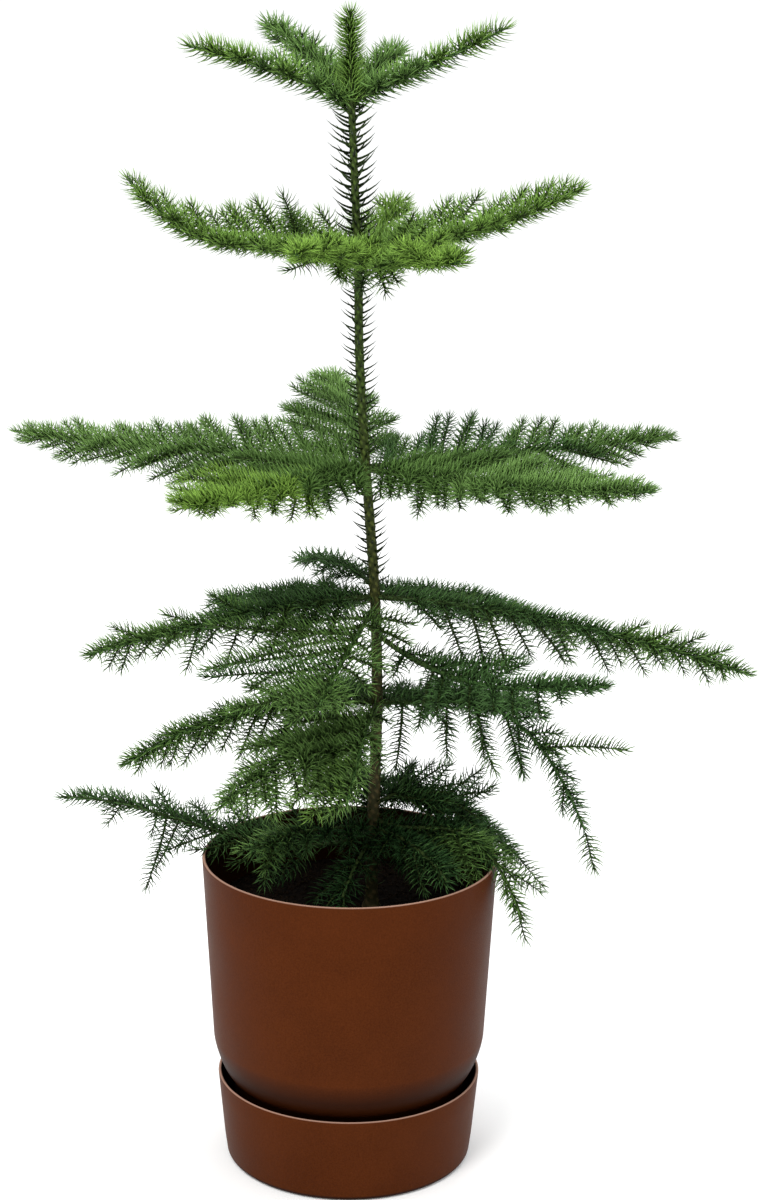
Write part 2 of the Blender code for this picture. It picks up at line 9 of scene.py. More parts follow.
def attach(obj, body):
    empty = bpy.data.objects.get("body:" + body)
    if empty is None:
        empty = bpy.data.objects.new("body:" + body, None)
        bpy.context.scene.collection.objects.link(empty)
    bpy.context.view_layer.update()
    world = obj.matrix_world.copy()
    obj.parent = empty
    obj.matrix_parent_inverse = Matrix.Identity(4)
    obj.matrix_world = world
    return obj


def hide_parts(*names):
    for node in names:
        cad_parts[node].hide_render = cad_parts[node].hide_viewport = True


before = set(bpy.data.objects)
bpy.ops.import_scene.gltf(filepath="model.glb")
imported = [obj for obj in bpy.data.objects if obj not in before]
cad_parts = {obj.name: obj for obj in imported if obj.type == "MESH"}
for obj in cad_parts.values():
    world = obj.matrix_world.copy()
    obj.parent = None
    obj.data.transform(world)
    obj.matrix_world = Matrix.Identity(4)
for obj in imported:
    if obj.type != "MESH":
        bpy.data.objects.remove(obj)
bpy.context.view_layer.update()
up = Vector((0, 0, 1))
seed = 11
hair = 1e-6                  # as good as nothing


def evenly(start, end, count):
    return [start + (end - start) * i / count for i in range(count + 1)]


def newObject(name, data):
    item = bpy.data.objects.new(name, data)
    bpy.context.scene.collection.objects.link(item)
    return item


# Camera, light and floor

camera = {
    "place": (0.0187, -1.640, 0.816),
    "down": 14.76,           # degrees it looks below the level
    "roll": 0.52,            # degrees
    "lens": 78.96,
    "sensor": 36,            # millimetres along the picture's long side
    "farthest": 200,
}

studio = {
    "floorSize": 60.0,
    "floorColour": (0.95, 0.95, 0.945),
    "floorRoughness": 0.9,
    "floorGlow": 0.10,       # keeps the floor white into the distance
    "skyColour": (0.98, 0.99, 1.0),
    "skyLow": 0.42,          # strength at the level of the horizon
    "skyHigh": 1.35,         # and straight above
}

# place, the point it faces, width, power in watts, colour
softLights = {
    "keyLight": ((-0.7, -1.5, 2.4), (0.0, 0.0, 0.42), 0.9, 34, (1.0, 0.985, 0.96)),
    "topLight": ((0.3, 0.2, 2.6), (0.0, 0.0, 0.30), 1.2, 22, (1.0, 1.0, 1.0)),
}


def addCamera():
    lensData = bpy.data.cameras.new("camera")
    lensData.lens = camera["lens"]
    lensData.sensor_width = camera["sensor"]
    lensData.clip_end = camera["farthest"]
    item = newObject("camera", lensData)
    item.matrix_world = (Matrix.Translation(camera["place"])
                         @ Matrix.Rotation(radians(90 - camera["down"]), 4, "X")
                         @ Matrix.Rotation(radians(camera["roll"]), 4, "Z"))
    bpy.context.scene.camera = item


def addSoftLight(name, place, target, width, power, colour):
    lightData = bpy.data.lights.new(name, "AREA")
    lightData.shape = "DISK"
    lightData.size = width
    lightData.energy = power
    lightData.color = colour
    item = newObject(name, lightData)
    item.location = place
    item.rotation_euler = (Vector(target) - Vector(place)).to_track_quat("-Z", "Y").to_euler()


# Node trees written as Python expressions

class Wire:
    # one socket of a node tree: arithmetic on it adds Math nodes
    def __init__(self, maker, socket):
        self.maker, self.socket = maker, socket

    def __add__(self, other):
        return self.maker.maths("ADD", self, other)

    def __sub__(self, other):
        return self.maker.maths("SUBTRACT", self, other)

    def __rsub__(self, other):
        return self.maker.maths("SUBTRACT", other, self)

    def __mul__(self, other):
        return self.maker.maths("MULTIPLY", self, other)

    __radd__, __rmul__ = __add__, __mul__


class Maker:
    # adds nodes to one tree
    def __init__(self, tree):
        self.tree = tree

    def add(self, kind, settings=None, inputs=None, output=0):
        node = self.tree.nodes.new(kind)
        for name, value in (settings or {}).items():
            setattr(node, name, value)
        self.fill(node, inputs or {})
        return Wire(self, node.outputs[output])

    def fill(self, node, inputs):
        for name, value in inputs.items():
            if isinstance(value, Wire):
                self.tree.links.new(value.socket, node.inputs[name])
            else:
                node.inputs[name].default_value = value

    def maths(self, operation, first, second):
        return self.add("ShaderNodeMath", {"operation": operation}, {0: first, 1: second})

    def blend(self, share, first, second):
        first, second = (value if isinstance(value, Wire) else (*value, 1) for value in (first, second))
        return self.add("ShaderNodeMix", {"data_type": "RGBA"}, {0: share, 6: first, 7: second}, output=2)

    def grain(self, scale, detail, rough):
        # noise on the object's own coordinates, from 0 to 1
        where = self.add("ShaderNodeTexCoord", output="Object")
        return self.add("ShaderNodeTexNoise", None,
                        {"Vector": where, "Scale": scale, "Detail": detail, "Roughness": rough})

    def axis(self, vector, letter="Z"):
        return self.add("ShaderNodeSeparateXYZ", None, {"Vector": vector}, output=letter)

    def attribute(self, name):
        return self.add("ShaderNodeAttribute", {"attribute_name": name}, output="Fac")

    def ramp(self, share, *stops):
        tint = self.add("ShaderNodeValToRGB", None, {"Fac": share})
        elements = tint.socket.node.color_ramp.elements
        while len(elements) < len(stops):
            elements.new(1.0)
        for element, (place, colour) in zip(elements, stops):
            element.position, element.color = place, (*colour, 1)
        return tint

    def spread(self, value, low, high, newLow=0.0, newHigh=1.0):
        return self.add("ShaderNodeMapRange", None, {
            "Value": value, "From Min": low, "From Max": high, "To Min": newLow, "To Max": newHigh})

    def bump(self, height, strength, distance):
        return self.add("ShaderNodeBump", None,
                        {"Height": height, "Strength": strength, "Distance": distance})


def newFinish(name):
    made = bpy.data.materials.new(name)
    made.use_nodes = True
    return made, Maker(made.node_tree), made.node_tree.nodes["Principled BSDF"]


def addStudio():
    world = bpy.data.worlds.new("studio")
    world.use_nodes = True
    maker = Maker(world.node_tree)
    height = maker.axis(maker.add("ShaderNodeTexCoord", output="Generated"))
    glow = maker.spread(height, 0.0, 1.0, studio["skyLow"], studio["skyHigh"])
    seen = maker.add("ShaderNodeLightPath", output="Is Camera Ray")
    maker.fill(world.node_tree.nodes["Background"], {
        "Color": (*studio["skyColour"], 1),
        "Strength": glow + seen * (1.0 - glow)})         # the backdrop itself is plain white
    bpy.context.scene.world = world
    bpy.context.scene.view_settings.view_transform = "Standard"
    pale, maker, shader = newFinish("paleFloor")
    maker.fill(shader, {
        "Base Color": (*studio["floorColour"], 1), "Roughness": studio["floorRoughness"],
        "Emission Color": (1, 1, 1, 1), "Emission Strength": studio["floorGlow"]})
    half = studio["floorSize"] / 2
    mesh = bpy.data.meshes.new("floor")
    corners = [(-half, -half, 0), (half, -half, 0), (half, half, 0), (-half, half, 0)]
    mesh.from_pydata(corners, [], [(0, 1, 2, 3)])
    mesh.materials.append(pale)
    floor = newObject("floor", mesh)
    for name, values in softLights.items():
        addSoftLight(name, *values)


addCamera()
addStudio()
print("camera, light and floor are in place")


# Finishes. A grain is the scale, detail and roughness of a noise, a bump its strength and depth.
grainRange = (0.3, 0.7)      # what a grain's middle part spans


def closeFinish(maker, shader, look, colour, roughGrain, bumpGrain):
    # what the finishes share: a roughness that follows one grain and a bump that follows another
    maker.fill(shader, {
        "Base Color": colour,
        "Roughness": maker.spread(roughGrain, *grainRange, *look["roughness"]),
        "Normal": maker.bump(bumpGrain, *look["bump"]), "Specular IOR Level": look["shine"]})


plasticLook = {
    "colour": (0.054, 0.0112, 0.0009),
    "paleColour": (0.084, 0.0190, 0.0028),
    # the lip's pale colour is a painted highlight on faces that look up
    "paintedLipHighlight": (0.420, 0.2500, 0.1850),
    # a painted shade on faces that look down under the shoulder
    "paintedShoulderShade": (0.022, 0.0046, 0.0004),
    "highlightFacing": (0.35, 0.9),        # how far up a face looks to take the painted highlight
    "shadeFacing": (-0.12, -0.36),   # and how far down to lie in the shoulder's painted shade
    # how far the inner walls are darkened, a painted shade
    "insidePaintedShade": 0.35,
    "fine": (900, 3, 0.65), "slow": (22, 3, 0.55), "fineShare": 0.6, "fineRange": (0.35, 0.65),
    "roughness": (0.43, 0.53), "bump": (0.26, 0.0004), "shine": 0.045,
}


def makePlastic(name, shade):
    look = plasticLook
    made, maker, shader = newFinish(name)
    fine, slow = maker.grain(*look["fine"]), maker.grain(*look["slow"])
    mottle = (maker.spread(fine, *look["fineRange"]) * look["fineShare"]
              + maker.spread(slow, *grainRange) * (1 - look["fineShare"]))
    upward = maker.axis(maker.add("ShaderNodeNewGeometry", output="Normal"))
    shaded = [[part * shade for part in look[which]] for which in ("colour", "paleColour")]
    # faces that look down take a painted shade
    body = maker.blend(maker.spread(upward, *look["shadeFacing"]), maker.blend(mottle, *shaded),
                       look["paintedShoulderShade"])
    # faces that look up take a painted highlight
    colour = maker.blend(maker.spread(upward, *look["highlightFacing"]), body, look["paintedLipHighlight"])
    closeFinish(maker, shader, look, colour, slow, fine)
    return made


soilLook = {
    "potting": ((0.0030, 0.0022, 0.0016), (0.014, 0.009, 0.006)),       # dark and pale
    "crumbs": ((0.005, 0.0034, 0.0022), (0.030, 0.018, 0.010)),
    "lumps": (260, 5, 0.65), "lumpRange": (0.35, 0.70),
    "roughness": (0.95, 0.80), "bump": (0.6, 0.002), "shine": 0.04,
}


def makeSoilFinish(name, tones):
    made, maker, shader = newFinish(name)
    lumps = maker.grain(*soilLook["lumps"])
    closeFinish(maker, shader, soilLook, maker.ramp(lumps, *zip(soilLook["lumpRange"], tones)), lumps, lumps)
    return made


barkLook = {
    "green": (0.084, 0.148, 0.025),
    "olive": (0.102, 0.118, 0.024),
    "brown": (0.084, 0.060, 0.023),
    # a painted shade in the hollows between the pads
    "hollow": (0.014, 0.020, 0.005),
    "fleck": (0.20, 0.22, 0.080),
    "greenAbove": 0.52,      # heights between which the stem's bark turns from brown to green
    "brownBelow": 0.31,
    "wander": 0.10,          # how far up and down the patches carry that turn
    "fleckRange": (0.45, 0.70), "fleckShare": 0.5, "fleckPale": 0.55,
    "hollowRange": (0.20, 0.75), "hollowShare": 0.75, "hollowPatches": 0.3,
    "patches": (160, 4, 0.6), "flecks": (900, 3, 0.6), "fine": (1500, 4, 0.6),
    "roughness": (0.55, 0.75), "bump": (0.5, 0.0004), "shine": 0.15,
}


def makeTrunkBark():
    look = barkLook
    made, maker, shader = newFinish("trunkBark")
    height = maker.axis(maker.add("ShaderNodeTexCoord", output="Object"))
    patches = maker.grain(*look["patches"])
    age = maker.spread(height + patches * look["wander"] - look["wander"] / 2,
                       look["brownBelow"], look["greenAbove"])
    tint = maker.ramp(age, (0.0, look["brown"]), (0.5, look["olive"]), (1.0, look["green"]))
    flecks = maker.spread(maker.grain(*look["flecks"]), *look["fleckRange"])
    worn = maker.blend(flecks * look["fleckShare"], tint,
                       maker.blend(look["fleckPale"], tint, look["fleck"]))
    # the bark darkens where it isn't raised: a painted shade in the hollows
    paintedHollowShade = maker.spread(maker.attribute("raised") + patches * look["hollowPatches"],
                           *look["hollowRange"], look["hollowShare"], 0.0)
    closeFinish(maker, shader, look, maker.blend(paintedHollowShade, worn, look["hollow"]), patches,
                maker.grain(*look["fine"]))
    return made


twigLook = {
    "bough": ((0.018, 0.030, 0.007), (0.052, 0.076, 0.020)),            # dark and pale
    "twig": ((0.014, 0.026, 0.005), (0.040, 0.064, 0.014)),
    "leafy": ((0.020, 0.052, 0.012), (0.070, 0.150, 0.036)),            # where the attribute young is 1
    "streaks": (420, 4, 0.6), "streakRange": (0.35, 0.68), "fine": (1800, 3, 0.6),
    "roughness": (0.55, 0.72), "bump": (0.4, 0.0003), "shine": 0.12,
}


def makeTwigBark(name, tones):
    look = twigLook
    made, maker, shader = newFinish(name)
    streaks = maker.grain(*look["streaks"])
    tint = maker.ramp(streaks, *zip(look["streakRange"], tones))
    leafy = maker.blend(maker.spread(streaks, *look["streakRange"]), *look["leafy"])
    closeFinish(maker, shader, look, maker.blend(maker.attribute("young"), tint, leafy), streaks,
                maker.grain(*look["fine"]))
    return made


# Needle colours by the age of the shoot, and painted shade in dark and deep: the plain colour, and how waxy
# it is
needleTones = {
    "young": ((0.118, 0.232, 0.034), 0.45),
    "fresh": ((0.093, 0.188, 0.032), 0.45),
    "pale": ((0.087, 0.176, 0.041), 0.45),
    "mid": ((0.065, 0.138, 0.030), 0.46),
    # dark and deep also stand for painted shade inside the crown, deep for the shoots down in the pot's
    # shadow
    "dark": ((0.041, 0.098, 0.026), 0.48),
    "deep": ((0.0150, 0.046, 0.012), 0.50),
    "stem": ((0.016, 0.032, 0.007), 0.50),
}


needleLook = {
    "darkGain": (0.16, 0.20, 0.15), "paleGain": (2.60, 2.30, 2.60),     # on a tone's red, green and blue
    "own": 0.6, "drift": 0.5, "along": 0.8,      # how far chance, place and the way to its tip pale it, the darker base being a painted shade
    "range": (0.42, 1.42), "grain": (45, 2, 0.5), "roughness": 0.06, "shine": 0.07,
}


def makeNeedleFinish(tone):
    look = needleLook
    colour, roughness = needleTones[tone]
    made, maker, shader = newFinish("needles_" + tone)
    own = maker.attribute("shade")
    share = maker.spread(own * look["own"] + maker.grain(*look["grain"]) * look["drift"]
                         + maker.attribute("along") * look["along"], *look["range"])
    ends = [[part * gain for part, gain in zip(colour, look[which])] for which in ("darkGain", "paleGain")]
    maker.fill(shader, {
        "Base Color": maker.blend(share, *ends), "Specular IOR Level": look["shine"],
        "Roughness": maker.spread(own, 0, 1, roughness + look["roughness"], roughness - look["roughness"])})
    return made


plastic = makePlastic("terracottaPlastic", 1.0)
# the same finish darkened, a painted shade for the inside of the pot
plasticPaintedShade = makePlastic("terracottaPlasticPaintedShade", plasticLook["insidePaintedShade"])
soilFinish = makeSoilFinish("pottingSoil", soilLook["potting"])
crumbFinish = makeSoilFinish("barkCrumbs", soilLook["crumbs"])
trunkBark = makeTrunkBark()
boughBark = makeTwigBark("boughBark", twigLook["bough"])
twigBark = makeTwigBark("greenTwigs", twigLook["twig"])
needleFinish = {tone: makeNeedleFinish(tone) for tone in needleTones}
print("finishes are mixed")


# Pieces

def addPiece(name, mesh, slotName, replaced):
    item = newObject(name, mesh)
    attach(item, "root")
    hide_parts(*replaced)
    return item


def nodesOf(*starts):
    # the solids whose names begin so
    return [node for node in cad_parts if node.startswith(starts)]


def markPoints(mesh, name, numbers):
    mesh.attributes.new(name, "FLOAT", "POINT").data.foreach_set("value", numbers)


def meshOf(name, points, faces, finish, edges=()):
    mesh = bpy.data.meshes.new(name)
    mesh.from_pydata([tuple(point) for point in points], list(edges), faces)
    mesh.update()
    if finish:
        mesh.materials.append(finish)
    return mesh


# Pot and saucer, turned from their profiles

saucer = {
    "height": 0.0586, "rimRadius": 0.0878, "baseRadius": 0.0822,
    "wall": 0.0020, "floor": 0.0030, "edgeRound": 0.004, "insideRound": 0.003,
}
pot = {
    "top": 0.2100, "rimRadius": 0.0975, "wall": 0.0022, "floor": 0.0040,
    "foot": 0.0033, "shoulderRadius": 0.0906, "shoulderTop": 0.0860,
    "neckTop": 0.0560, "neckRadius": 0.0775, "footRadius": 0.0740,
    "fullness": 1.4, "ease": 1.3,        # of the shoulder's curve
    "footRound": 0.002, "insideRound": 0.003,
}
turnedSides = 160
sharpAngle = 60              # degrees
inwardFacing = 0.3           # how far a face looks at the axis to be inside


def arc(middle, radius, start, end, steps):
    # points on an arc in the (radius, height) plane, angles in degrees from outward to up
    turns = [radians(turn) for turn in evenly(start, end, steps)]
    return [(middle[0] + radius * cos(turn), middle[1] + radius * sin(turn)) for turn in turns]


def ringOf(radius, height, sides):
    turns = [2 * pi * k / sides for k in range(sides)]
    return [(radius * cos(turn), radius * sin(turn), height) for turn in turns]


def addTurned(name, profile, node):
    points, faces, rings = [], [], []
    for radius, height in profile:
        ring = ringOf(radius, height, turnedSides) if radius else [(0, 0, height)]
        rings.append(range(len(points), len(points) + len(ring)))
        points += ring
    for low, high in zip(rings, rings[1:]):
        for k in range(turnedSides):
            after = (k + 1) % turnedSides
            corners = [low[k % len(low)], low[after % len(low)],
                       high[after % len(high)], high[k % len(high)]]
            faces.append(tuple(dict.fromkeys(corners)))
    mesh = meshOf(name, points, faces, plastic)
    mesh.shade_smooth()
    mesh.set_sharp_from_angle(angle=radians(sharpAngle))
    mesh.materials.append(plasticPaintedShade)
    # faces that look in at the axis take the darker finish: a painted shade on the inner walls
    for face in mesh.polygons:
        if face.normal.xy.dot(face.center.xy) < -inwardFacing * face.center.xy.length:
            face.material_index = 1
    addPiece(name, mesh, "terracotta_plastic", [node])


def makeSaucer():
    height, rim, base, wall, floor = (
        saucer[size] for size in ("height", "rimRadius", "baseRadius", "wall", "floor"))
    edge, bend = saucer["edgeRound"], saucer["insideRound"]
    lip, inner = wall / 2, base - wall
    profile = [(0, 0), (base * 0.5, 0)] + arc((base - edge, edge), edge, -90, 0, 8)
    profile += [(base + (rim - base) * share, height * share) for share in (0.25, 0.5, 0.75)]
    profile += arc((rim - lip - (rim - base) / height * lip, height - lip), lip, 0, 180, 8)
    profile += arc((inner - bend, floor + bend), bend, 0, -90, 5)
    addTurned("saucer_shell", profile + [(inner * 0.5, floor), (0, floor)], "saucer")


def shoulderCurve(shrink, steps=14):
    # the pot's wall from the straight part down to the neck
    points = []
    for share in evenly(0, 1, steps):
        down = share ** pot["ease"]
        across = (1 - down ** pot["fullness"]) ** (1 / pot["fullness"])
        points.append((pot["neckRadius"] + (pot["shoulderRadius"] - pot["neckRadius"]) * across - shrink,
                       pot["shoulderTop"] + (pot["neckTop"] - pot["shoulderTop"]) * down))
    return points


def makePot():
    wall, foot, footRadius = pot["wall"], pot["foot"], pot["footRadius"]
    lip, floor = wall / 2, foot + pot["floor"]
    edge, bend = pot["footRound"], pot["insideRound"]
    profile = [(0, foot), (footRadius * 0.5, foot)]
    profile += arc((footRadius - edge, foot + edge), edge, -90, 0, 4) + shoulderCurve(0)[::-1]
    profile += arc((pot["rimRadius"] - lip, pot["top"] - lip), lip, 0, 180, 10) + shoulderCurve(wall)
    profile += arc((footRadius - wall - bend, floor + bend), bend, 0, -90, 4)
    addTurned("pot_shell", profile + [(0, floor)], "pot")


makeSaucer()
makePot()
print("pot and saucer are turned")


# Soil: a lumpy top with bark crumbs on it

soil = {
    "top": 0.1720, "crown": 0.0015, "rings": 44, "sides": 120,
    "depth": 0.012, "edgeDrop": 0.004, "gap": 0.0003,    # how far its edge stays off the wall
    "lump": 0.0016, "lumpScale": 90, "calm": 6,          # lumps are full from 1 / calm of the way out
    "crumbs": 2600, "crumbSize": 0.0016, "crumbStray": (0.35, 1.0), "crumbTilt": 0.7,
    "crumbShape": ((0.5, 2.2), (0.4, 1.0), (0.3, 0.8)),
}


def potInnerRadius(height):
    share = (height - pot["shoulderTop"]) / (pot["top"] - pot["shoulderTop"])
    return pot["shoulderRadius"] + (pot["rimRadius"] - pot["shoulderRadius"]) * share - pot["wall"]


def soilHeight(x, y):
    far = (x * x + y * y) ** 0.5 / potInnerRadius(soil["top"])
    lumps = noise.fractal(Vector((x, y, 0)) * soil["lumpScale"], 1.0, 2.0, 4) * soil["lump"]
    return soil["top"] + soil["crown"] * (1 - far ** 2) + lumps * min(1.0, far * soil["calm"])


def makeSoil():
    rings, sides = soil["rings"], soil["sides"]
    edge = potInnerRadius(soil["top"] - soil["edgeDrop"]) - soil["gap"]
    points, faces = [(0, 0, soilHeight(0, 0))], []
    for ring in range(1, rings + 1):
        points += [(x, y, soilHeight(x, y)) for x, y, _ in ringOf(edge * ring / rings, 0, sides)]
    faces += [(0, 1 + k, 1 + (k + 1) % sides) for k in range(sides)]
    for ring in range(rings - 1):
        low, high = 1 + ring * sides, 1 + (ring + 1) * sides
        faces += [(low + k, high + k, high + (k + 1) % sides, low + (k + 1) % sides) for k in range(sides)]
    lowest = soil["top"] - soil["depth"]
    rim = 1 + (rings - 1) * sides
    under = len(points)
    points += ringOf(potInnerRadius(lowest) - soil["gap"], lowest, sides)
    faces += [(rim + k, under + k, under + (k + 1) % sides, rim + (k + 1) % sides) for k in range(sides)]
    faces.append(tuple(range(under + sides - 1, under - 1, -1)))
    mesh = meshOf("soil_top", points, faces, soilFinish)
    mesh.shade_smooth()
    return addPiece("soil_top", mesh, "potting_soil", ["soil"])


# Geometry node trees

def newTree(name, sizes):
    # a tree with one geometry input and named sizes, and the maker that fills it
    tree = bpy.data.node_groups.new(name, "GeometryNodeTree")
    tree.interface.new_socket("Geometry", in_out="INPUT", socket_type="NodeSocketGeometry")
    for label, (kind, value) in sizes.items():
        socket = tree.interface.new_socket(label, in_out="INPUT", socket_type="NodeSocket" + kind)
        if value is not None:
            socket.default_value = value
    tree.interface.new_socket("Geometry", in_out="OUTPUT", socket_type="NodeSocketGeometry")
    maker = Maker(tree)
    entry = tree.nodes.new("NodeGroupInput")
    given = {socket.name: Wire(maker, socket) for socket in entry.outputs if socket.name}
    return maker, given


def closeTree(maker, geometry, finish):
    plain = maker.add("GeometryNodeRealizeInstances", None, {"Geometry": geometry})
    smooth = maker.add("GeometryNodeSetShadeSmooth", None, {"Geometry": plain})
    dressed = maker.add("GeometryNodeSetMaterial", None, {"Geometry": smooth, "Material": finish})
    out = maker.tree.nodes.new("NodeGroupOutput")
    maker.fill(out, {"Geometry": dressed})
    return maker.tree


def grownMesh(name, source, tree, values):
    # runs a tree on a source mesh and hands back the plain result
    item = newObject(name + "_source", source)
    modifier = item.modifiers.new(name, "NODES")
    modifier.node_group = tree
    for socket in tree.interface.items_tree:
        if socket.in_out == "INPUT" and socket.name in values:
            modifier[socket.identifier] = values[socket.name]
    graph = bpy.context.evaluated_depsgraph_get()
    graph.update()
    made = bpy.data.meshes.new_from_object(item.evaluated_get(graph))
    made.name = name
    bpy.data.objects.remove(item, do_unlink=True)
    return made


def named(maker, name):
    return maker.add("GeometryNodeInputNamedAttribute", {"data_type": "FLOAT"}, {"Name": name})


def chance(maker, low, high, seedValue):
    return maker.add("FunctionNodeRandomValue", {"data_type": "FLOAT"}, {2: low, 3: high, "Seed": seedValue},
                     output=1)


def crumbTree():
    maker, given = newTree("crumbs", {"Density": ("Float", 1.0), "Size": ("Float", 0.001),
                                      "Seed": ("Int", 1), "Material": ("Material", None)})
    height = maker.axis(maker.add("GeometryNodeInputPosition"))
    onTop = maker.add("FunctionNodeCompare", {"data_type": "FLOAT", "operation": "GREATER_THAN"},
                      {0: height, 1: soil["top"] - soil["edgeDrop"]})
    spots = maker.add("GeometryNodeDistributePointsOnFaces", None,
                      {"Mesh": given["Geometry"], "Selection": onTop, "Density": given["Density"],
                       "Seed": given["Seed"]})
    lump = maker.add("GeometryNodeMeshIcoSphere", None, {"Radius": 1.0, "Subdivisions": 1})
    seat = given["Seed"]
    shape = maker.add("ShaderNodeCombineXYZ", None, {
        letter: chance(maker, *soil["crumbShape"][number], seat + (number + 1.0))
        for number, letter in enumerate("XYZ")})
    sized = maker.add("ShaderNodeVectorMath", {"operation": "SCALE"},
                      {0: shape, "Scale": given["Size"] * chance(maker, *soil["crumbStray"], seat + 4.0)})
    turn = maker.add("FunctionNodeRandomValue", {"data_type": "FLOAT_VECTOR"},
                     {0: (0, 0, 0), 1: (soil["crumbTilt"], soil["crumbTilt"], 2 * pi), "Seed": 5})
    placed = maker.add("GeometryNodeInstanceOnPoints", None,
                       {"Points": spots, "Instance": lump,
                        "Rotation": maker.add("FunctionNodeEulerToRotation", None, {"Euler": turn}),
                        "Scale": sized})
    return closeTree(maker, placed, given["Material"])


def scatterCrumbs(soilItem):
    area = pi * potInnerRadius(soil["top"]) ** 2
    mesh = grownMesh("bark_crumbs", soilItem.data.copy(), crumbTree(),
                     {"Density": soil["crumbs"] / area, "Size": soil["crumbSize"], "Seed": seed,
                      "Material": crumbFinish})
    addPiece("bark_crumbs", mesh, "potting_soil", ["soil"])


scatterCrumbs(makeSoil())
print("soil is filled in")


# Trunk

trunk = {
    "line": (
        (0.0145, 0.000, 0.1738), (0.0150, 0.000, 0.227), (0.0170, 0.000, 0.313),
        (0.0152, 0.000, 0.384), (0.0087, 0.000, 0.471), (0.0042, 0.000, 0.540),
        (0.0027, 0.000, 0.604), (-0.0018, 0.000, 0.698), (-0.0031, 0.000, 0.7535),
    ),
    "rootRadius": 0.0040, "topRadius": 0.0022, "tipRadius": 0.0006,
    "flare": 0.0024, "flareHeight": 0.010,
    "sides": 28, "ringStep": 0.0008, "padHeight": 0.00046,
}

# Pads that old needles leave in the bark, in shares of their rows and columns
pads = {
    "row": 0.0050, "round": 5, "climb": 0.6, "middle": 0.35, "tall": 0.22, "wide": 0.26,
    "rough": 0.35, "roughRound": 1.6, "roughAlong": 260,
}


def easedCurve(start, slopeIn, end, slopeOut, share):
    two, three = share ** 2, share ** 3
    return (start * (2 * three - 3 * two + 1) + slopeIn * (three - 2 * two + share)
            + end * (3 * two - 2 * three) + slopeOut * (three - two))


def trunkPoint(height):
    line = [Vector(point) for point in trunk["line"]]
    last = len(line) - 2
    span = next((i for i in range(last + 1) if height <= line[i + 1].z), last)
    before = line[max(span - 1, 0)]
    start, end = line[span], line[span + 1]
    after = line[min(span + 2, last + 1)]
    share = (height - start.z) / (end.z - start.z)
    slopeIn = (end - before) * ((end.z - start.z) / (end.z - before.z))
    slopeOut = (after - start) * ((end.z - start.z) / (after.z - start.z))
    point = easedCurve(start, slopeIn, end, slopeOut, share)
    point.z = height
    return point


def trunkRadius(height):
    foot, whorl, tip = (trunk["line"][place][2] for place in (0, -2, -1))
    wide, top = trunk["rootRadius"], trunk["topRadius"]
    if height > whorl:
        return top + (trunk["tipRadius"] - top) * (height - whorl) / (tip - whorl)
    flare = max(0.0, 1 - (height - foot) / trunk["flareHeight"])
    return wide + (top - wide) * (height - foot) / (whorl - foot) + trunk["flare"] * flare ** 2


def alongTrunk(low, high, count):
    heights = evenly(low, high, count)
    return [trunkPoint(height) for height in heights], [trunkRadius(height) for height in heights]


def barkRelief(turn, along):
    # raised pads in rising rows, with rough bark between them
    column = turn / (2 * pi) * pads["round"]
    row = along / pads["row"] + column * pads["climb"]
    fromRow = (row % 1.0) - pads["middle"]
    fromColumn = (column + 0.5 * (int(row // 1) % 2)) % 1.0 - 0.5
    pad = exp(-(fromRow / pads["tall"]) ** 2 - (fromColumn / pads["wide"]) ** 2)
    wide = pads["roughRound"]
    place = Vector((cos(turn) * wide, sin(turn) * wide, along * pads["roughAlong"]))
    return pad + pads["rough"] * noise.fractal(place, 1.0, 2.0, 3)


def ringedTube(points, headings, radii, sides, relief):
    # a closed tube with rounded relief, as points, faces and how far each point is raised
    verts, faces, raised = [], [], []
    side = headings[0].orthogonal().normalized()
    along = 0.0
    for i, (middle, ahead, radius) in enumerate(zip(points, headings, radii)):
        if i:
            along += (middle - points[i - 1]).length
        side = (side - ahead * side.dot(ahead)).normalized()
        over = ahead.cross(side)
        for k in range(sides):
            turn = 2 * pi * k / sides
            raised.append(barkRelief(turn, along) if 0 < i < len(points) - 1 else 0.5)
            out = radius + relief * raised[-1]
            verts.append(middle + (side * cos(turn) + over * sin(turn)) * out)
    for i in range(len(points) - 1):
        for k in range(sides):
            a, b = i * sides + k, i * sides + (k + 1) % sides
            faces.append((a, b, b + sides, a + sides))
    faces.append(tuple(range(sides))[::-1])
    faces.append(tuple(range((len(points) - 1) * sides, len(points) * sides)))
    return verts, faces, raised


def makeTrunk():
    foot, tip = trunk["line"][0][2], trunk["line"][-1][2]
    line, radii = alongTrunk(foot, tip, ceil((tip - foot) / trunk["ringStep"]))
    points, faces, raised = ringedTube(line, [up] * len(line), radii, trunk["sides"], trunk["padHeight"])
    mesh = meshOf("trunk_bark", points, faces, trunkBark)
    markPoints(mesh, "raised", raised)
    mesh.shade_smooth()
    addPiece("trunk_bark", mesh, "young_bark", ["trunk"])


makeTrunk()
print("trunk is grown")


# Boughs. bare is the share of the reach with no foliage of its own, spray the longest side shoot,
# inner and outer the needle tones. left and right, seen from the trunk, give the lift of that side's
# shoots and then, where it isn't 1, a factor on how far apart they stand, on how long they are and on
# how far their lift strays. ownGap is a factor on the distance of the needles on the bough's own line.
# an inner tone darker than the outer stands partly for painted shade inside the crown
Bough = namedtuple("Bough", ("foot", "azimuth", "reach", "rise", "pitch", "tipPitch", "bare", "spray",
                             "inner", "outer", "left", "right", "ownGap"), defaults=(1,))

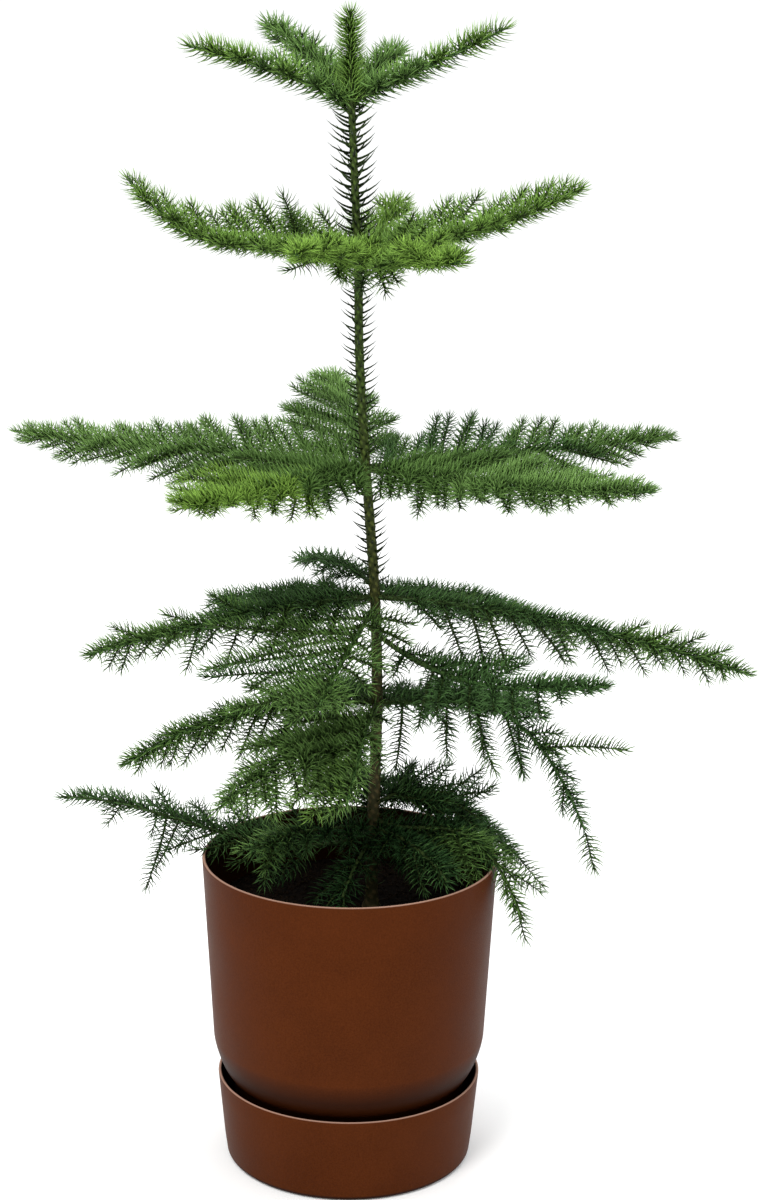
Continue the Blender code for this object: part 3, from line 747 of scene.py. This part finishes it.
boughs = {name: Bough(*sizes) for name, *sizes in (
    ("t1_left", 0.699, 187, 0.106, 0.036, 26, 14, 0, 0.022, "mid", "fresh", (10,), (20,)),
    ("t1_back_left", 0.700, 122, 0.112, 0.044, 30, 12, 0, 0.020, "mid", "mid", (15,), (15,)),
    ("t1_right", 0.700, 355, 0.100, 0.049, 26, 30, 0, 0.020, "mid", "fresh", (20,), (10,)),
    ("t1_back_right", 0.699, 68, 0.086, 0.030, 28, 10, 0, 0.018, "mid", "mid", (15,), (15,)),
    ("t1_back", 0.693, 100, 0.045, 0.030, 40, 30, 0, 0.012, "mid", "mid", (15,), (15,)),
    ("t2_left", 0.604, 181, 0.149, 0.057, 15, 55, 0, 0.034, "fresh", "fresh", (4,), (38, 0.9, 1.2)),
    ("t2_front_left", 0.606, 250, 0.112, 0.014, 6, 10, 0, 0.032, "fresh", "young",
     (12, 0.9, 1, 2), (12, 0.8, 0.75, 2.2)),
    ("t2_front_right", 0.601, 303, 0.118, 0.014, 8, 8, 0, 0.032, "fresh", "young",
     (12, 0.9, 1.1, 2), (12, 0.9, 1, 2)),
    ("t2_right", 0.606, 357, 0.144, 0.047, 6, 30, 0, 0.034, "fresh", "fresh",
     (36, 0.95, 1.15), (2,)),
    ("t2_back", 0.604, 76, 0.110, 0.026, 10, 10, 0, 0.030, "fresh", "young",
     (12, 1.7, 0.9), (12, 1.7, 0.9), 1.4),
    ("t3_left", 0.471, 163, 0.250, 0.008, 6, 6, 0.16, 0.052, "mid", "pale",
     (-17, 0.8, 0.95, 1.4), (22, 0.9, 0.8)),
    ("t3_front_left", 0.471, 224, 0.152, -0.004, 4, 2, 0.20, 0.055, "mid", "young",
     (-15, 0.8, 0.7, 1.5), (2, 0.75, 1.2, 1.2)),
    ("t3_front_right", 0.470, 322, 0.222, 0.017, 0, 10, 0.16, 0.050, "mid", "pale",
     (12, 0.8, 0.95), (-19, 0.8, 0.6, 1.5)),
    ("t3_right", 0.471, 18, 0.217, 0.010, 4, 4, 0.16, 0.050, "dark", "mid",
     (24, 0.95, 0.78), (-10, 0.9, 1.05, 1.2)),
    ("t3_back", 0.472, 97, 0.205, 0.026, 10, 6, 0.18, 0.055, "mid", "pale",
     (10, 1.5, 1.05), (10, 1.8, 0.6), 1.3),
    ("t4_right", 0.386, 349, 0.247, -0.038, 0, -16, 0.14, 0.046, "dark", "mid",
     (-18, 0.9, 1, 0.8), (-34, 1.55, 0.95, 1.7), 0.6),
    ("t4_back", 0.392, 108, 0.185, -0.026, 6, -16, 0.20, 0.050, "dark", "dark",
     (-10, 2.4, 0.4), (-10, 2.4, 0.3), 1.6),
    ("t4_back_left", 0.383, 142, 0.145, -0.025, 4, -16, 0.20, 0.046, "dark", "dark", (-20,), (-10,)),
    ("t4_left", 0.386, 194, 0.193, -0.029, 0, -12, 0.16, 0.052, "dark", "mid",
     (-26, 1.4, 0.9, 1.6), (-4,), 0.75),
    ("t4_front", 0.379, 256, 0.150, -0.030, -6, -14, 0.20, 0.070, "mid", "mid",
     (2, 1.8, 0.6), (2, 1.5, 1.2, 0.3), 1.35),
    ("t4_front_right", 0.362, 319, 0.192, 0.003, -26, 15, 0.18, 0.050, "dark", "dark",
     (12, 1.2, 0.9, 1.2), (-20, 1.9, 0.8, 1.8)),
    ("t4_back_right", 0.386, 50, 0.185, -0.055, -2, -26, 0.18, 0.048, "dark", "dark",
     (-16, 1.5, 0.8, 1.4), (-16, 1.5, 0.8, 1.4)),
    ("t5_left", 0.315, 190, 0.171, -0.039, 6, -34, 0.18, 0.044, "mid", "mid",
     (-36, 1.25, 1.05, 1.6), (-6, 0.85, 1.1, 1.2), 0.8),
    ("t5_front_left", 0.307, 229, 0.150, -0.028, 4, -20, 0.20, 0.046, "mid", "pale",
     (-4, 0.8, 1.2, 1.5), (-4,)),
    ("t5_front", 0.315, 261, 0.120, -0.034, 0, -24, 0.22, 0.042, "pale", "pale",
     (-6, 3, 0.3), (-6, 0.8, 1.4, 1.4), 1.9),
    ("t5_front_right", 0.316, 331, 0.156, -0.074, 0, -67, 0.18, 0.048, "dark", "dark",
     (10,), (-50, 2.6, 1, 1.2), 0.8),
    ("t5_back_right", 0.314, 42, 0.150, -0.030, 4, -20, 0.20, 0.044, "dark", "dark",
     (-14, 1.4, 0.8, 1.4), (-14, 1.5, 0.8, 1.4)),
    ("t5_back", 0.313, 112, 0.150, -0.030, 4, -20, 0.20, 0.044, "dark", "dark", (-14,), (-14,)),
    ("t6_left", 0.226, 172, 0.217, 0.011, -28, -8, 0.30, 0.050, "dark", "dark",
     (-46, 3.2, 0.5, 1.5), (8,), 0.8),
    ("t6_back_right", 0.244, 22, 0.109, -0.052, 31, -45, 0.20, 0.040, "deep", "dark",
     (-12, 0.7, 1.3, 1.2), (-10, 0.7, 1.2, 1.2)),
    ("t6_right", 0.236, 342, 0.109, -0.075, -28, -72, 0, 0.030, "deep", "mid",
     (-20, 0.9, 1.3, 1.2), (-30, 0.9, 1.3, 1.2)),
    ("t6_front_right", 0.228, 306, 0.088, -0.016, 10, -34, 0, 0.028, "deep", "deep",
     (-8, 1.5, 0.9, 1.4), (-8, 1.7, 0.9, 1.4)),
    ("t6_front", 0.220, 254, 0.074, -0.018, 8, -26, 0, 0.024, "deep", "deep",
     (-6, 2, 0.7), (-6, 1.4), 3),
    ("t6_front_left", 0.228, 214, 0.098, 0.002, 16, -16, 0, 0.030, "deep", "dark",
     (-8, 1.7, 0.9, 1.4), (-8, 1.7, 0.9, 1.4)),
    ("t6_back", 0.236, 98, 0.100, 0.004, 14, -12, 0, 0.032, "deep", "dark", (-6,), (-6,)),
)}

# step is the distance between side shoots on one side, needle the needles' length, gap their distance
# along a shoot, lean their angle from it, lift how far they turn upward, droop how far a side shoot
# sags, curl how far it turns towards the bough's tip, stray how far its own lift strays in degrees,
# clear the share of a bough's bare part left free
Whorl = namedtuple("Whorl", "step needle gap lean lift droop curl stray clear")

whorls = {
    "t1": Whorl(0.0140, 0.0146, 0.00042, 96, 0.30, 0.00, 0.30, 12, 0.55),
    "t2": Whorl(0.0080, 0.0124, 0.00044, 94, 0.28, 0.00, 0.15, 12, 0.55),
    "t3": Whorl(0.0074, 0.0108, 0.00041, 86, 0.28, 0.05, 0.15, 10, 0.12),
    "t4": Whorl(0.0096, 0.0126, 0.00054, 80, 0.26, 0.25, 0.15, 14, 0.45),
    "t5": Whorl(0.0096, 0.0130, 0.00054, 80, 0.20, 0.30, 0.15, 16, 0.50),
    "t6": Whorl(0.0085, 0.0126, 0.00070, 78, 0.14, 0.25, 0.15, 20, 0.55),
}

growth = {
    # boughs
    "leastRadius": 0.0012, "slenderness": 0.0030, "tipRadius": 0.0007,
    "tipNeedles": 0.006,         # a bough's own line ends this far short of its reach
    "boughSides": 10, "boughStep": 0.0016, "boughRelief": 0.00022,
    "greening": 2.2, "potGreening": 0.15,        # how soon its bark turns green, and how far in the pot
    "oldFoot": 0.12, "oldGap": 1.4, "youngFrom": 0.62,   # needles are sparse on the foot
    # side shoots
    "seats": (-0.05, 0.30), "seatStray": 0.3, "firstSeat": 0.03, "lastSeat": 0.95,
    "angle": 66, "tipAngle": 44, "angleStray": 9,
    "footLength": 0.55, "swell": 1.6, "fall": 0.7, "fullLength": 1.32, "lengthStray": (0.76, 1.10),
    "outerTone": 1.35,           # how soon the outer tone takes over
    "pointStep": 0.006, "shortest": 0.007, "waver": 0.05, "droopStray": (0.3, 1.6), "extraDroop": 0.05,
    "sideRadius": 0.00065, "leastThick": 0.6, "thickPer": 0.05, "mostThick": 0.8, "taper": 0.45,
    "buried": {"needles": 0.6, "bark": 0.5},     # how deep in the trunk a bough begins, in its radii
    # needles at a shoot's tip: shares of their length, and degrees from the shoot
    "youngTip": 0.010, "tipNeedle": 0.66, "needleRise": 0.34, "needlePower": 0.8,
    "tipLean": 34, "leanPower": 0.6,
    "wallSpare": 0.0025, "soilSpare": 0.004,     # what a shoot keeps from the pot's wall and the soil
}


def outward(azimuth):
    return Vector((cos(radians(azimuth)), sin(radians(azimuth)), 0))


def boughPoint(bough, share):
    rise = easedCurve(0, tan(radians(bough.pitch)) * bough.reach, bough.rise,
                      tan(radians(bough.tipPitch)) * bough.reach, share)
    return trunkPoint(bough.foot) + outward(bough.azimuth) * bough.reach * share + up * rise


def boughHeading(bough, share, step=0.01):
    ends = boughPoint(bough, min(share + step, 1.0)), boughPoint(bough, max(share - step, 0.0))
    return (ends[0] - ends[1]).normalized()


def boughRadius(bough, share):
    foot = growth["leastRadius"] + growth["slenderness"] * bough.reach
    return foot + (growth["tipRadius"] - foot) * share


def boughShares(bough, buried, step):
    # even places on a bough, from a share of the trunk's radius to where its own needles end
    start = trunkRadius(bough.foot) * buried / bough.reach
    return evenly(start, 1 - growth["tipNeedles"] / bough.reach, ceil(bough.reach / step))


def blocked(point):
    # inside the pot's wall or below the soil
    far = (point.x ** 2 + point.y ** 2) ** 0.5
    spare = growth["wallSpare"]
    outer = potInnerRadius(max(point.z, pot["shoulderTop"])) + pot["wall"]
    inWall = point.z <= pot["top"] + spare and outer - pot["wall"] - spare < far < outer + spare
    return inWall or (point.z < soil["top"] + growth["soilSpare"] and far < pot["rimRadius"])


def shootOf(points, radii, whorl, tone, **own):
    # one shoot: its line, its radii and what its needles are like, shorter and closer at the tip
    like = {**whorls[whorl]._asdict(), "young": growth["youngTip"], **own}
    toTip = [0.0]
    for before, after in zip(points[::-1], points[-2::-1]):
        toTip.append(toTip[-1] + (after - before).length)
    grown = [min(1.0, far / like["young"]) for far in toTip[::-1]]
    level, tipLean = (points[-1] - points[0]).normalized(), growth["tipLean"]
    return {
        "points": points, "radius": radii, "tone": tone, "whorl": whorl, "gap": like["gap"],
        "needleLength": [like["needle"] * (growth["tipNeedle"] + growth["needleRise"]
                                           * share ** growth["needlePower"]) for share in grown],
        "lean": [radians(tipLean + (like["lean"] - tipLean) * share ** growth["leanPower"])
                 for share in grown],
        "lift": like["lift"] * (1 - abs(level.z)),       # a hanging shoot's needles are not lifted
    }


def stretch(points):
    return sum((after - before).length for before, after in zip(points, points[1:]))


def grownLine(root, heading, towards, length, droop, curl, dice):
    # a shoot's line: it turns towards the bough's tip, sags, and wavers a little
    count = max(3, ceil(length / growth["pointStep"]))
    line, ahead = [root.copy()], heading.copy()
    for i in range(count):
        waver = Vector([dice.uniform(-1, 1) for axis in "XYZ"]) * growth["waver"]
        ahead = (ahead + towards * (curl / count) - up * (droop / count) + waver).normalized()
        point = line[-1] + ahead * (length / count)
        if blocked(point):
            break
        line.append(point)
    return line


def grownShoot(name, share, heading, length, tone, dice, droop=None):
    # a side shoot from its root on the bough, or nothing where it would be too short
    bough, whorl = boughs[name], whorls[name[:2]]
    if droop is None:
        droop = whorl.droop * dice.uniform(*growth["droopStray"])
    line = grownLine(boughPoint(bough, share), heading, boughHeading(bough, share), length, droop,
                     whorl.curl, dice)
    if stretch(line) < growth["shortest"]:
        return None
    thick = min(growth["sideRadius"] * (growth["leastThick"] + length / growth["thickPer"]),
                boughRadius(bough, share) * growth["mostThick"])
    radii = [thick * (1 - growth["taper"] * k / (len(line) - 1)) for k in range(len(line))]
    return shootOf(line, radii, name[:2], tone)


def sprayLength(bough, share):
    profile = (min(1.0, growth["footLength"] + growth["swell"] * share) * (1 - share) ** growth["fall"]
               * growth["fullLength"])
    return bough.spray * min(1.0, profile)


def sideShoots(name, bough, dice):
    whorl = whorls[name[:2]]
    first = max(bough.bare * whorl.clear, trunkRadius(bough.foot) / bough.reach) + growth["firstSeat"]
    room = growth["lastSeat"] - first
    wobble, turned = growth["seatStray"], growth["angleStray"]
    shoots = []
    for side, seat, habits in zip((-1, 1), growth["seats"], (bough.left, bough.right)):
        lift, apart, longer, strays = (*habits, 1, 1, 1)[:4]
        stray = whorl.stray * strays
        count = max(1, round(room * bough.reach / (whorl.step * apart)))
        for i in range(count):
            share = first + room * (i + seat) / count
            share = max(first, share + dice.uniform(-wobble, wobble) / count * room)
            length = sprayLength(bough, share) * longer * dice.uniform(*growth["lengthStray"])
            if length < growth["shortest"]:
                continue
            ahead = boughHeading(bough, share)
            aside = ahead.cross(up).normalized() * side
            angle = radians(growth["angle"] + (growth["tipAngle"] - growth["angle"]) * share
                            + dice.uniform(-turned, turned))
            level = ahead * cos(angle) + aside * sin(angle)
            tilt = radians(lift + dice.uniform(-stray, stray))
            heading = (level * cos(tilt) + up * sin(tilt)).normalized()
            tone = bough.outer if dice.random() < share * growth["outerTone"] else bough.inner
            shoots.append(grownShoot(name, share, heading, length, tone, dice))
    return shoots


def mainShoots(name, bough):
    # the needles on the bough's own line, fewer on its old foot
    shares = boughShares(bough, growth["buried"]["needles"], growth["pointStep"])
    turnsYoung = bough.bare + (growth["oldFoot"] if bough.bare else 0.0)
    shoots = []
    for low, high, tone, thin, young in (
            (0, turnsYoung, bough.inner, growth["oldGap"], hair),
            (turnsYoung, growth["youngFrom"], bough.inner, 1, hair),
            (growth["youngFrom"], 1, bough.outer, 1, growth["youngTip"])):
        chosen = [share for share in shares if low - hair <= share <= high + 1 / (len(shares) - 1)]
        if high > 0 and len(chosen) > 1:
            shoots.append(shootOf([boughPoint(bough, share) for share in chosen],
                                  [boughRadius(bough, share) for share in chosen], name[:2], tone,
                                  gap=whorls[name[:2]].gap * thin * bough.ownGap, young=young))
    return shoots


# Side shoots that stand out on their own. After a bough's name: how far out along it in percent,
# azimuth, lift, length in millimetres, tone
extraShoots = (
    ("t2_left", (24, 172, 78, 36, "mid")),
    ("t2_front_left", (42, 186, -14, 28, "mid"), (14, 262, -38, 22, "fresh")),
    ("t2_front_right", (18, 285, -40, 24, "fresh")), ("t2_front_left", (20, 230, 34, 26, "fresh")),
    ("t2_front_right", (30, 330, 62, 36, "fresh"), (44, 320, 56, 33, "fresh")),
    ("t2_front_left", (36, 244, 44, 24, "fresh")),
    ("t2_front_right", (20, 350, 52, 36, "mid"), (58, 316, 46, 28, "young")),
    ("t2_front_left", (8, 254, -30, 22, "fresh")), ("t2_front_right", (12, 300, -30, 22, "fresh")),
    ("t2_front_left", (24, 262, -26, 22, "fresh")),
    ("t2_front_right", (27, 290, -26, 22, "fresh"), (10, 250, -44, 24, "mid")),
    ("t2_front_left", (30, 272, -40, 20, "fresh")),
    ("t3_front_left", (50, 190, 5, 44, "fresh"), (64, 196, 6, 40, "fresh"), (78, 200, 8, 30, "young"),
     (88, 206, 8, 22, "young"), (22, 270, -25, 36, "mid"), (34, 280, -25, 34, "mid")),
    ("t5_front_right", (76, 352, 6, 54, "mid"), (60, 300, -62, 40, "dark"), (97, 331, -72, 24, "mid"),
     (46, 320, -76, 46, "mid")),
    ("t5_front", (30, 178, -10, 60, "mid"), (50, 196, -14, 62, "mid"), (66, 212, -16, 50, "fresh"),
     (80, 228, -20, 40, "fresh")),
    ("t4_front", (30, 176, 0, 92, "mid"), (45, 180, -2, 90, "mid"), (60, 184, -4, 84, "dark"),
     (78, 192, -6, 60, "mid")),
    ("t6_left", (60, 235, -50, 36, "dark"), (64, 255, -58, 50, "dark"), (78, 240, -30, 18, "dark"),
     (30, 222, -6, 36, "dark"), (38, 206, -2, 40, "dark"), (48, 210, -6, 36, "dark")),
    ("t6_back_right", (15, 30, 34, 32, "dark"), (30, 330, 24, 36, "dark"), (45, 20, 38, 34, "dark"),
     (22, 95, 28, 28, "deep"), (8, 70, -18, 50, "dark"), (20, 50, -22, 50, "dark"),
     (10, 55, 36, 30, "dark"), (18, 5, 34, 34, "dark"), (34, 50, 36, 30, "dark"),
     (46, 350, 22, 34, "dark"), (20, 330, 8, 36, "deep"), (56, 10, 34, 28, "dark"),
     (12, 340, 4, 40, "dark"), (36, 345, -12, 40, "dark"), (52, 320, -26, 36, "dark"),
     (26, 310, -20, 34, "deep"), (55, 60, 30, 30, "dark"), (88, 350, -40, 40, "mid")),
    ("t6_right", (90, 342, -76, 28, "mid"), (62, 345, -40, 44, "mid"), (78, 15, -30, 36, "mid")),
    ("t6_front_left", (45, 178, -8, 36, "pale"), (62, 205, -6, 40, "pale"), (74, 250, -22, 30, "mid")),
    ("t6_front_right", (55, 330, -16, 36, "dark"), (72, 300, -30, 34, "dark")),
    ("t6_right", (30, 315, -24, 38, "mid"), (50, 300, -50, 40, "mid"), (56, 5, -30, 40, "mid")),
    ("t6_back", (80, 168, -26, 50, "dark"), (70, 150, -16, 50, "dark"), (80, 20, -26, 46, "dark"),
     (90, 176, -34, 40, "deep")),
    ("t4_right", (64, 20, 24, 18, "mid"), (71, 10, 28, 20, "fresh"), (78, 15, 26, 20, "mid"),
     (85, 8, 24, 18, "mid")),
    ("t4_left", (44, 162, 30, 26, "mid"), (60, 168, 26, 22, "mid"), (78, 174, 30, 20, "mid")),
    ("t6_front_left", (80, 262, -42, 34, "dark")),
    ("t6_front", (45, 205, -36, 40, "deep"), (70, 222, -30, 34, "deep"), (85, 262, -44, 28, "deep")),
    ("t6_front_right", (50, 282, -40, 34, "dark"), (30, 300, -46, 32, "deep")),
    ("t6_front_left", (55, 236, -44, 36, "deep")),
)


def growBoughs():
    sides, mains = [], []
    dice = random.Random(seed)
    for name, *shoots in extraShoots:
        for percent, azimuth, lift, length, tone in shoots:
            heading = outward(azimuth) * cos(radians(lift)) + up * sin(radians(lift))
            sides.append(grownShoot(name, percent / 100, heading, length / 1000, tone, dice,
                                    growth["extraDroop"]))
    for number, (name, bough) in enumerate(boughs.items()):
        mains += mainShoots(name, bough)
        sides += sideShoots(name, bough, random.Random(seed * 1000 + number))
    return mains, [shoot for shoot in sides if shoot]


# Needles of the leader, and on the bare trunk: from and to height, length, gap along the trunk
leader = {
    "low": 0.6990, "high": 0.7535, "count": 14, "tone": "fresh",
    "needle": 0.0128, "gap": 0.00014, "lean": 82, "young": 0.004, "lift": 0.05,
}
trunkNeedles = (
    (0.610, 0.700, 0.0186, 0.00100),
    (0.478, 0.602, 0.0142, 0.00105),
    (0.394, 0.468, 0.0146, 0.00110),
    (0.322, 0.384, 0.0118, 0.00150),
    (0.184, 0.312, 0.0110, 0.00190),
)
stemHabit = {"lean": 84, "young": hair, "lift": 0.0}


def stemShoot(low, high, count, tone, **own):
    return shootOf(*alongTrunk(low, high, count), "t1", tone, **own)


mains, sides = growBoughs()
stems = [stemShoot(low, high, ceil((high - low) / growth["pointStep"]), "stem",
                   needle=needle, gap=gap, **stemHabit)
         for low, high, needle, gap in trunkNeedles]
tips = [stemShoot(**leader)]
print("boughs are grown:", len(mains) + len(sides), "shoots,",
      round(sum(stretch(shoot["points"]) for shoot in mains + sides), 1), "metres")


# Bark of the boughs, twigs of the side shoots

def makeBoughBark():
    points, faces, young = [], [], []
    around = growth["boughSides"]
    for name, bough in boughs.items():
        shares = boughShares(bough, growth["buried"]["bark"], growth["boughStep"])
        lines = [[part(bough, share) for share in shares]
                 for part in (boughPoint, boughHeading, boughRadius)]
        skin, sheet, _ = ringedTube(*lines, around, growth["boughRelief"])
        faces += [tuple(index + len(points) for index in face) for face in sheet]
        points += skin
        fresh = growth["potGreening"] if name.startswith("t6") else 1.0
        young += [min(1.0, share * growth["greening"]) * fresh for share in shares for _ in range(around)]
    mesh = meshOf("bough_bark", points, faces, boughBark)
    markPoints(mesh, "young", young)
    mesh.shade_smooth()
    addPiece("bough_bark", mesh, "young_bark", nodesOf("bough_"))


def pathMesh(name, shoots):
    # all shoots as lines of edges, with what the node trees read as attributes of their points
    points, edges = [], []
    values = {label: [] for label in ("radius", "needleLength", "lean", "gap", "lift")}
    for shoot in shoots:
        first, count = len(points), len(shoot["points"])
        points += shoot["points"]
        edges += [(first + i, first + i + 1) for i in range(count - 1)]
        for label, numbers in values.items():
            own = shoot[label]
            numbers += own if isinstance(own, list) else [own] * count
    mesh = meshOf(name, points, [], None, edges)
    for label, numbers in values.items():
        markPoints(mesh, "path_" + label, numbers)
    return mesh


def twigTree():
    maker, given = newTree("twigs", {"Sides": ("Int", 3), "Material": ("Material", None)})
    line = maker.add("GeometryNodeMeshToCurve", None, {"Mesh": given["Geometry"]})
    ring = maker.add("GeometryNodeCurvePrimitiveCircle", None, {"Resolution": given["Sides"], "Radius": 1.0})
    skin = maker.add("GeometryNodeCurveToMesh", None, {
        "Curve": line, "Profile Curve": ring, "Scale": named(maker, "path_radius"), "Fill Caps": True})
    return closeTree(maker, skin, given["Material"])


goldenAngle = 2.39996
bendDrop = 0.25              # how far its bend shortens a needle
needleStray = {"lean": 0.06, "size": (0.92, 1.06)}


def needleTree():
    maker, given = newTree("needles", {
        "Segments": ("Int", 2), "Slimness": ("Float", 0.045), "Bend": ("Float", 0.3),
        "Scatter": ("Float", 0.35), "Seed": ("Int", 1), "Material": ("Material", None)})
    line = maker.add("GeometryNodeMeshToCurve", None, {"Mesh": given["Geometry"]})
    dots = maker.tree.nodes.new("GeometryNodeCurveToPoints")
    dots.mode = "LENGTH"
    maker.fill(dots, {"Curve": line, "Length": named(maker, "path_gap")})
    spots, tangent = Wire(maker, dots.outputs["Points"]), Wire(maker, dots.outputs["Tangent"])

    # one needle of unit length: a three-sided awl that bends back towards the shoot's tip
    awl = maker.add("GeometryNodeMeshCone", None, {
        "Vertices": 3, "Side Segments": given["Segments"], "Radius Top": 0.0,
        "Radius Bottom": given["Slimness"], "Depth": 1.0})
    place = maker.add("GeometryNodeInputPosition")
    x, y, z = (maker.axis(place, letter) for letter in "XYZ")
    shaped = maker.add("ShaderNodeCombineXYZ", None, {
        "X": x * (1 + z) - z * z * given["Bend"], "Y": y * (1 + z),
        "Z": z - z * z * given["Bend"] * bendDrop})
    needle = maker.add("GeometryNodeSetPosition", None, {"Geometry": awl, "Position": shaped})
    # the share of the way to its tip, for a painted shade that darkens each needle's base
    needle = maker.add("GeometryNodeStoreNamedAttribute", {"data_type": "FLOAT", "domain": "POINT"},
                       {"Geometry": needle, "Name": "along", "Value": z})

    # each stands a golden angle round the shoot from the one before
    turn = (maker.add("GeometryNodeInputIndex") * goldenAngle
            + chance(maker, -1.0, 1.0, given["Seed"]) * given["Scatter"])
    lean = (named(maker, "path_lean")
            + chance(maker, -needleStray["lean"], needleStray["lean"], given["Seed"] + 1))
    rotation = maker.add("FunctionNodeAlignRotationToVector", {"axis": "Z"}, {"Vector": tangent})
    for euler in ({"Z": turn}, {"Y": lean}):
        spin = maker.add("FunctionNodeEulerToRotation", None,
                         {"Euler": maker.add("ShaderNodeCombineXYZ", None, euler)})
        rotation = maker.add("FunctionNodeRotateRotation", {"rotation_space": "LOCAL"},
                             {"Rotation": rotation, "Rotate By": spin})
    # and turns a little towards the light
    rotation = maker.add("FunctionNodeAlignRotationToVector", {"axis": "Z"},
                         {"Rotation": rotation, "Factor": named(maker, "path_lift"), "Vector": (0, 0, 1)})
    size = named(maker, "path_needleLength") * chance(maker, *needleStray["size"], given["Seed"] + 2)
    placed = maker.add("GeometryNodeInstanceOnPoints", None, {
        "Points": spots, "Instance": needle, "Rotation": rotation, "Scale": size})
    shaded = maker.add("GeometryNodeStoreNamedAttribute", {"data_type": "FLOAT", "domain": "INSTANCE"}, {
        "Geometry": placed, "Name": "shade", "Value": chance(maker, 0.0, 1.0, given["Seed"] + 3)})
    return closeTree(maker, shaded, given["Material"])


twigSides = 5


def makeTwigs():
    mesh = grownMesh("twigs", pathMesh("twigs", sides), twigTree(),
                     {"Sides": twigSides, "Material": twigBark})
    addPiece("twigs", mesh, "young_bark", nodesOf("foliage_"))


needleForm = {"Segments": 2, "Slimness": 0.041, "Bend": 0.30, "Scatter": 0.11}
stemForm = {**needleForm, "Segments": 4, "Slimness": 0.058, "Bend": 0.36}
mostTriangles = 180000       # in one piece
trianglesPerNeedle = 10


def makeNeedles():
    tree = needleTree()
    groups = {}
    for shoot in mains + sides + tips:
        groups.setdefault(shoot["tone"], []).append(shoot)
    total = 0
    for tone, shoots in groups.items():
        batches, room = [[]], mostTriangles
        for shoot in shoots:
            cost = stretch(shoot["points"]) / shoot["gap"] * trianglesPerNeedle
            if cost > room:
                batches.append([])
                room = mostTriangles
            batches[-1].append(shoot)
            room -= cost
        for number, batch in enumerate(batches):
            name = "needles_" + tone + ("_" + "abcdefgh"[number] if len(batches) > 1 else "")
            mesh = grownMesh(name, pathMesh(name, batch), tree,
                             {**needleForm, "Seed": seed + number, "Material": needleFinish[tone]})
            whorlsHere = sorted({shoot["whorl"] for shoot in batch})
            addPiece(name, mesh, "needles_" + whorlsHere[0],
                     nodesOf(*("foliage_" + whorl for whorl in whorlsHere)))
            mesh.calc_loop_triangles()
            total += len(mesh.loop_triangles)
            print(name, len(mesh.loop_triangles), "triangles")
    mesh = grownMesh("needles_stem", pathMesh("needles_stem", stems), tree,
                     {**stemForm, "Seed": seed, "Material": needleFinish["stem"]})
    addPiece("needles_stem", mesh, "needles_t1", ["foliage_leader"])
    print("needles:", total, "triangles")


makeBoughBark()
makeTwigs()
makeNeedles()
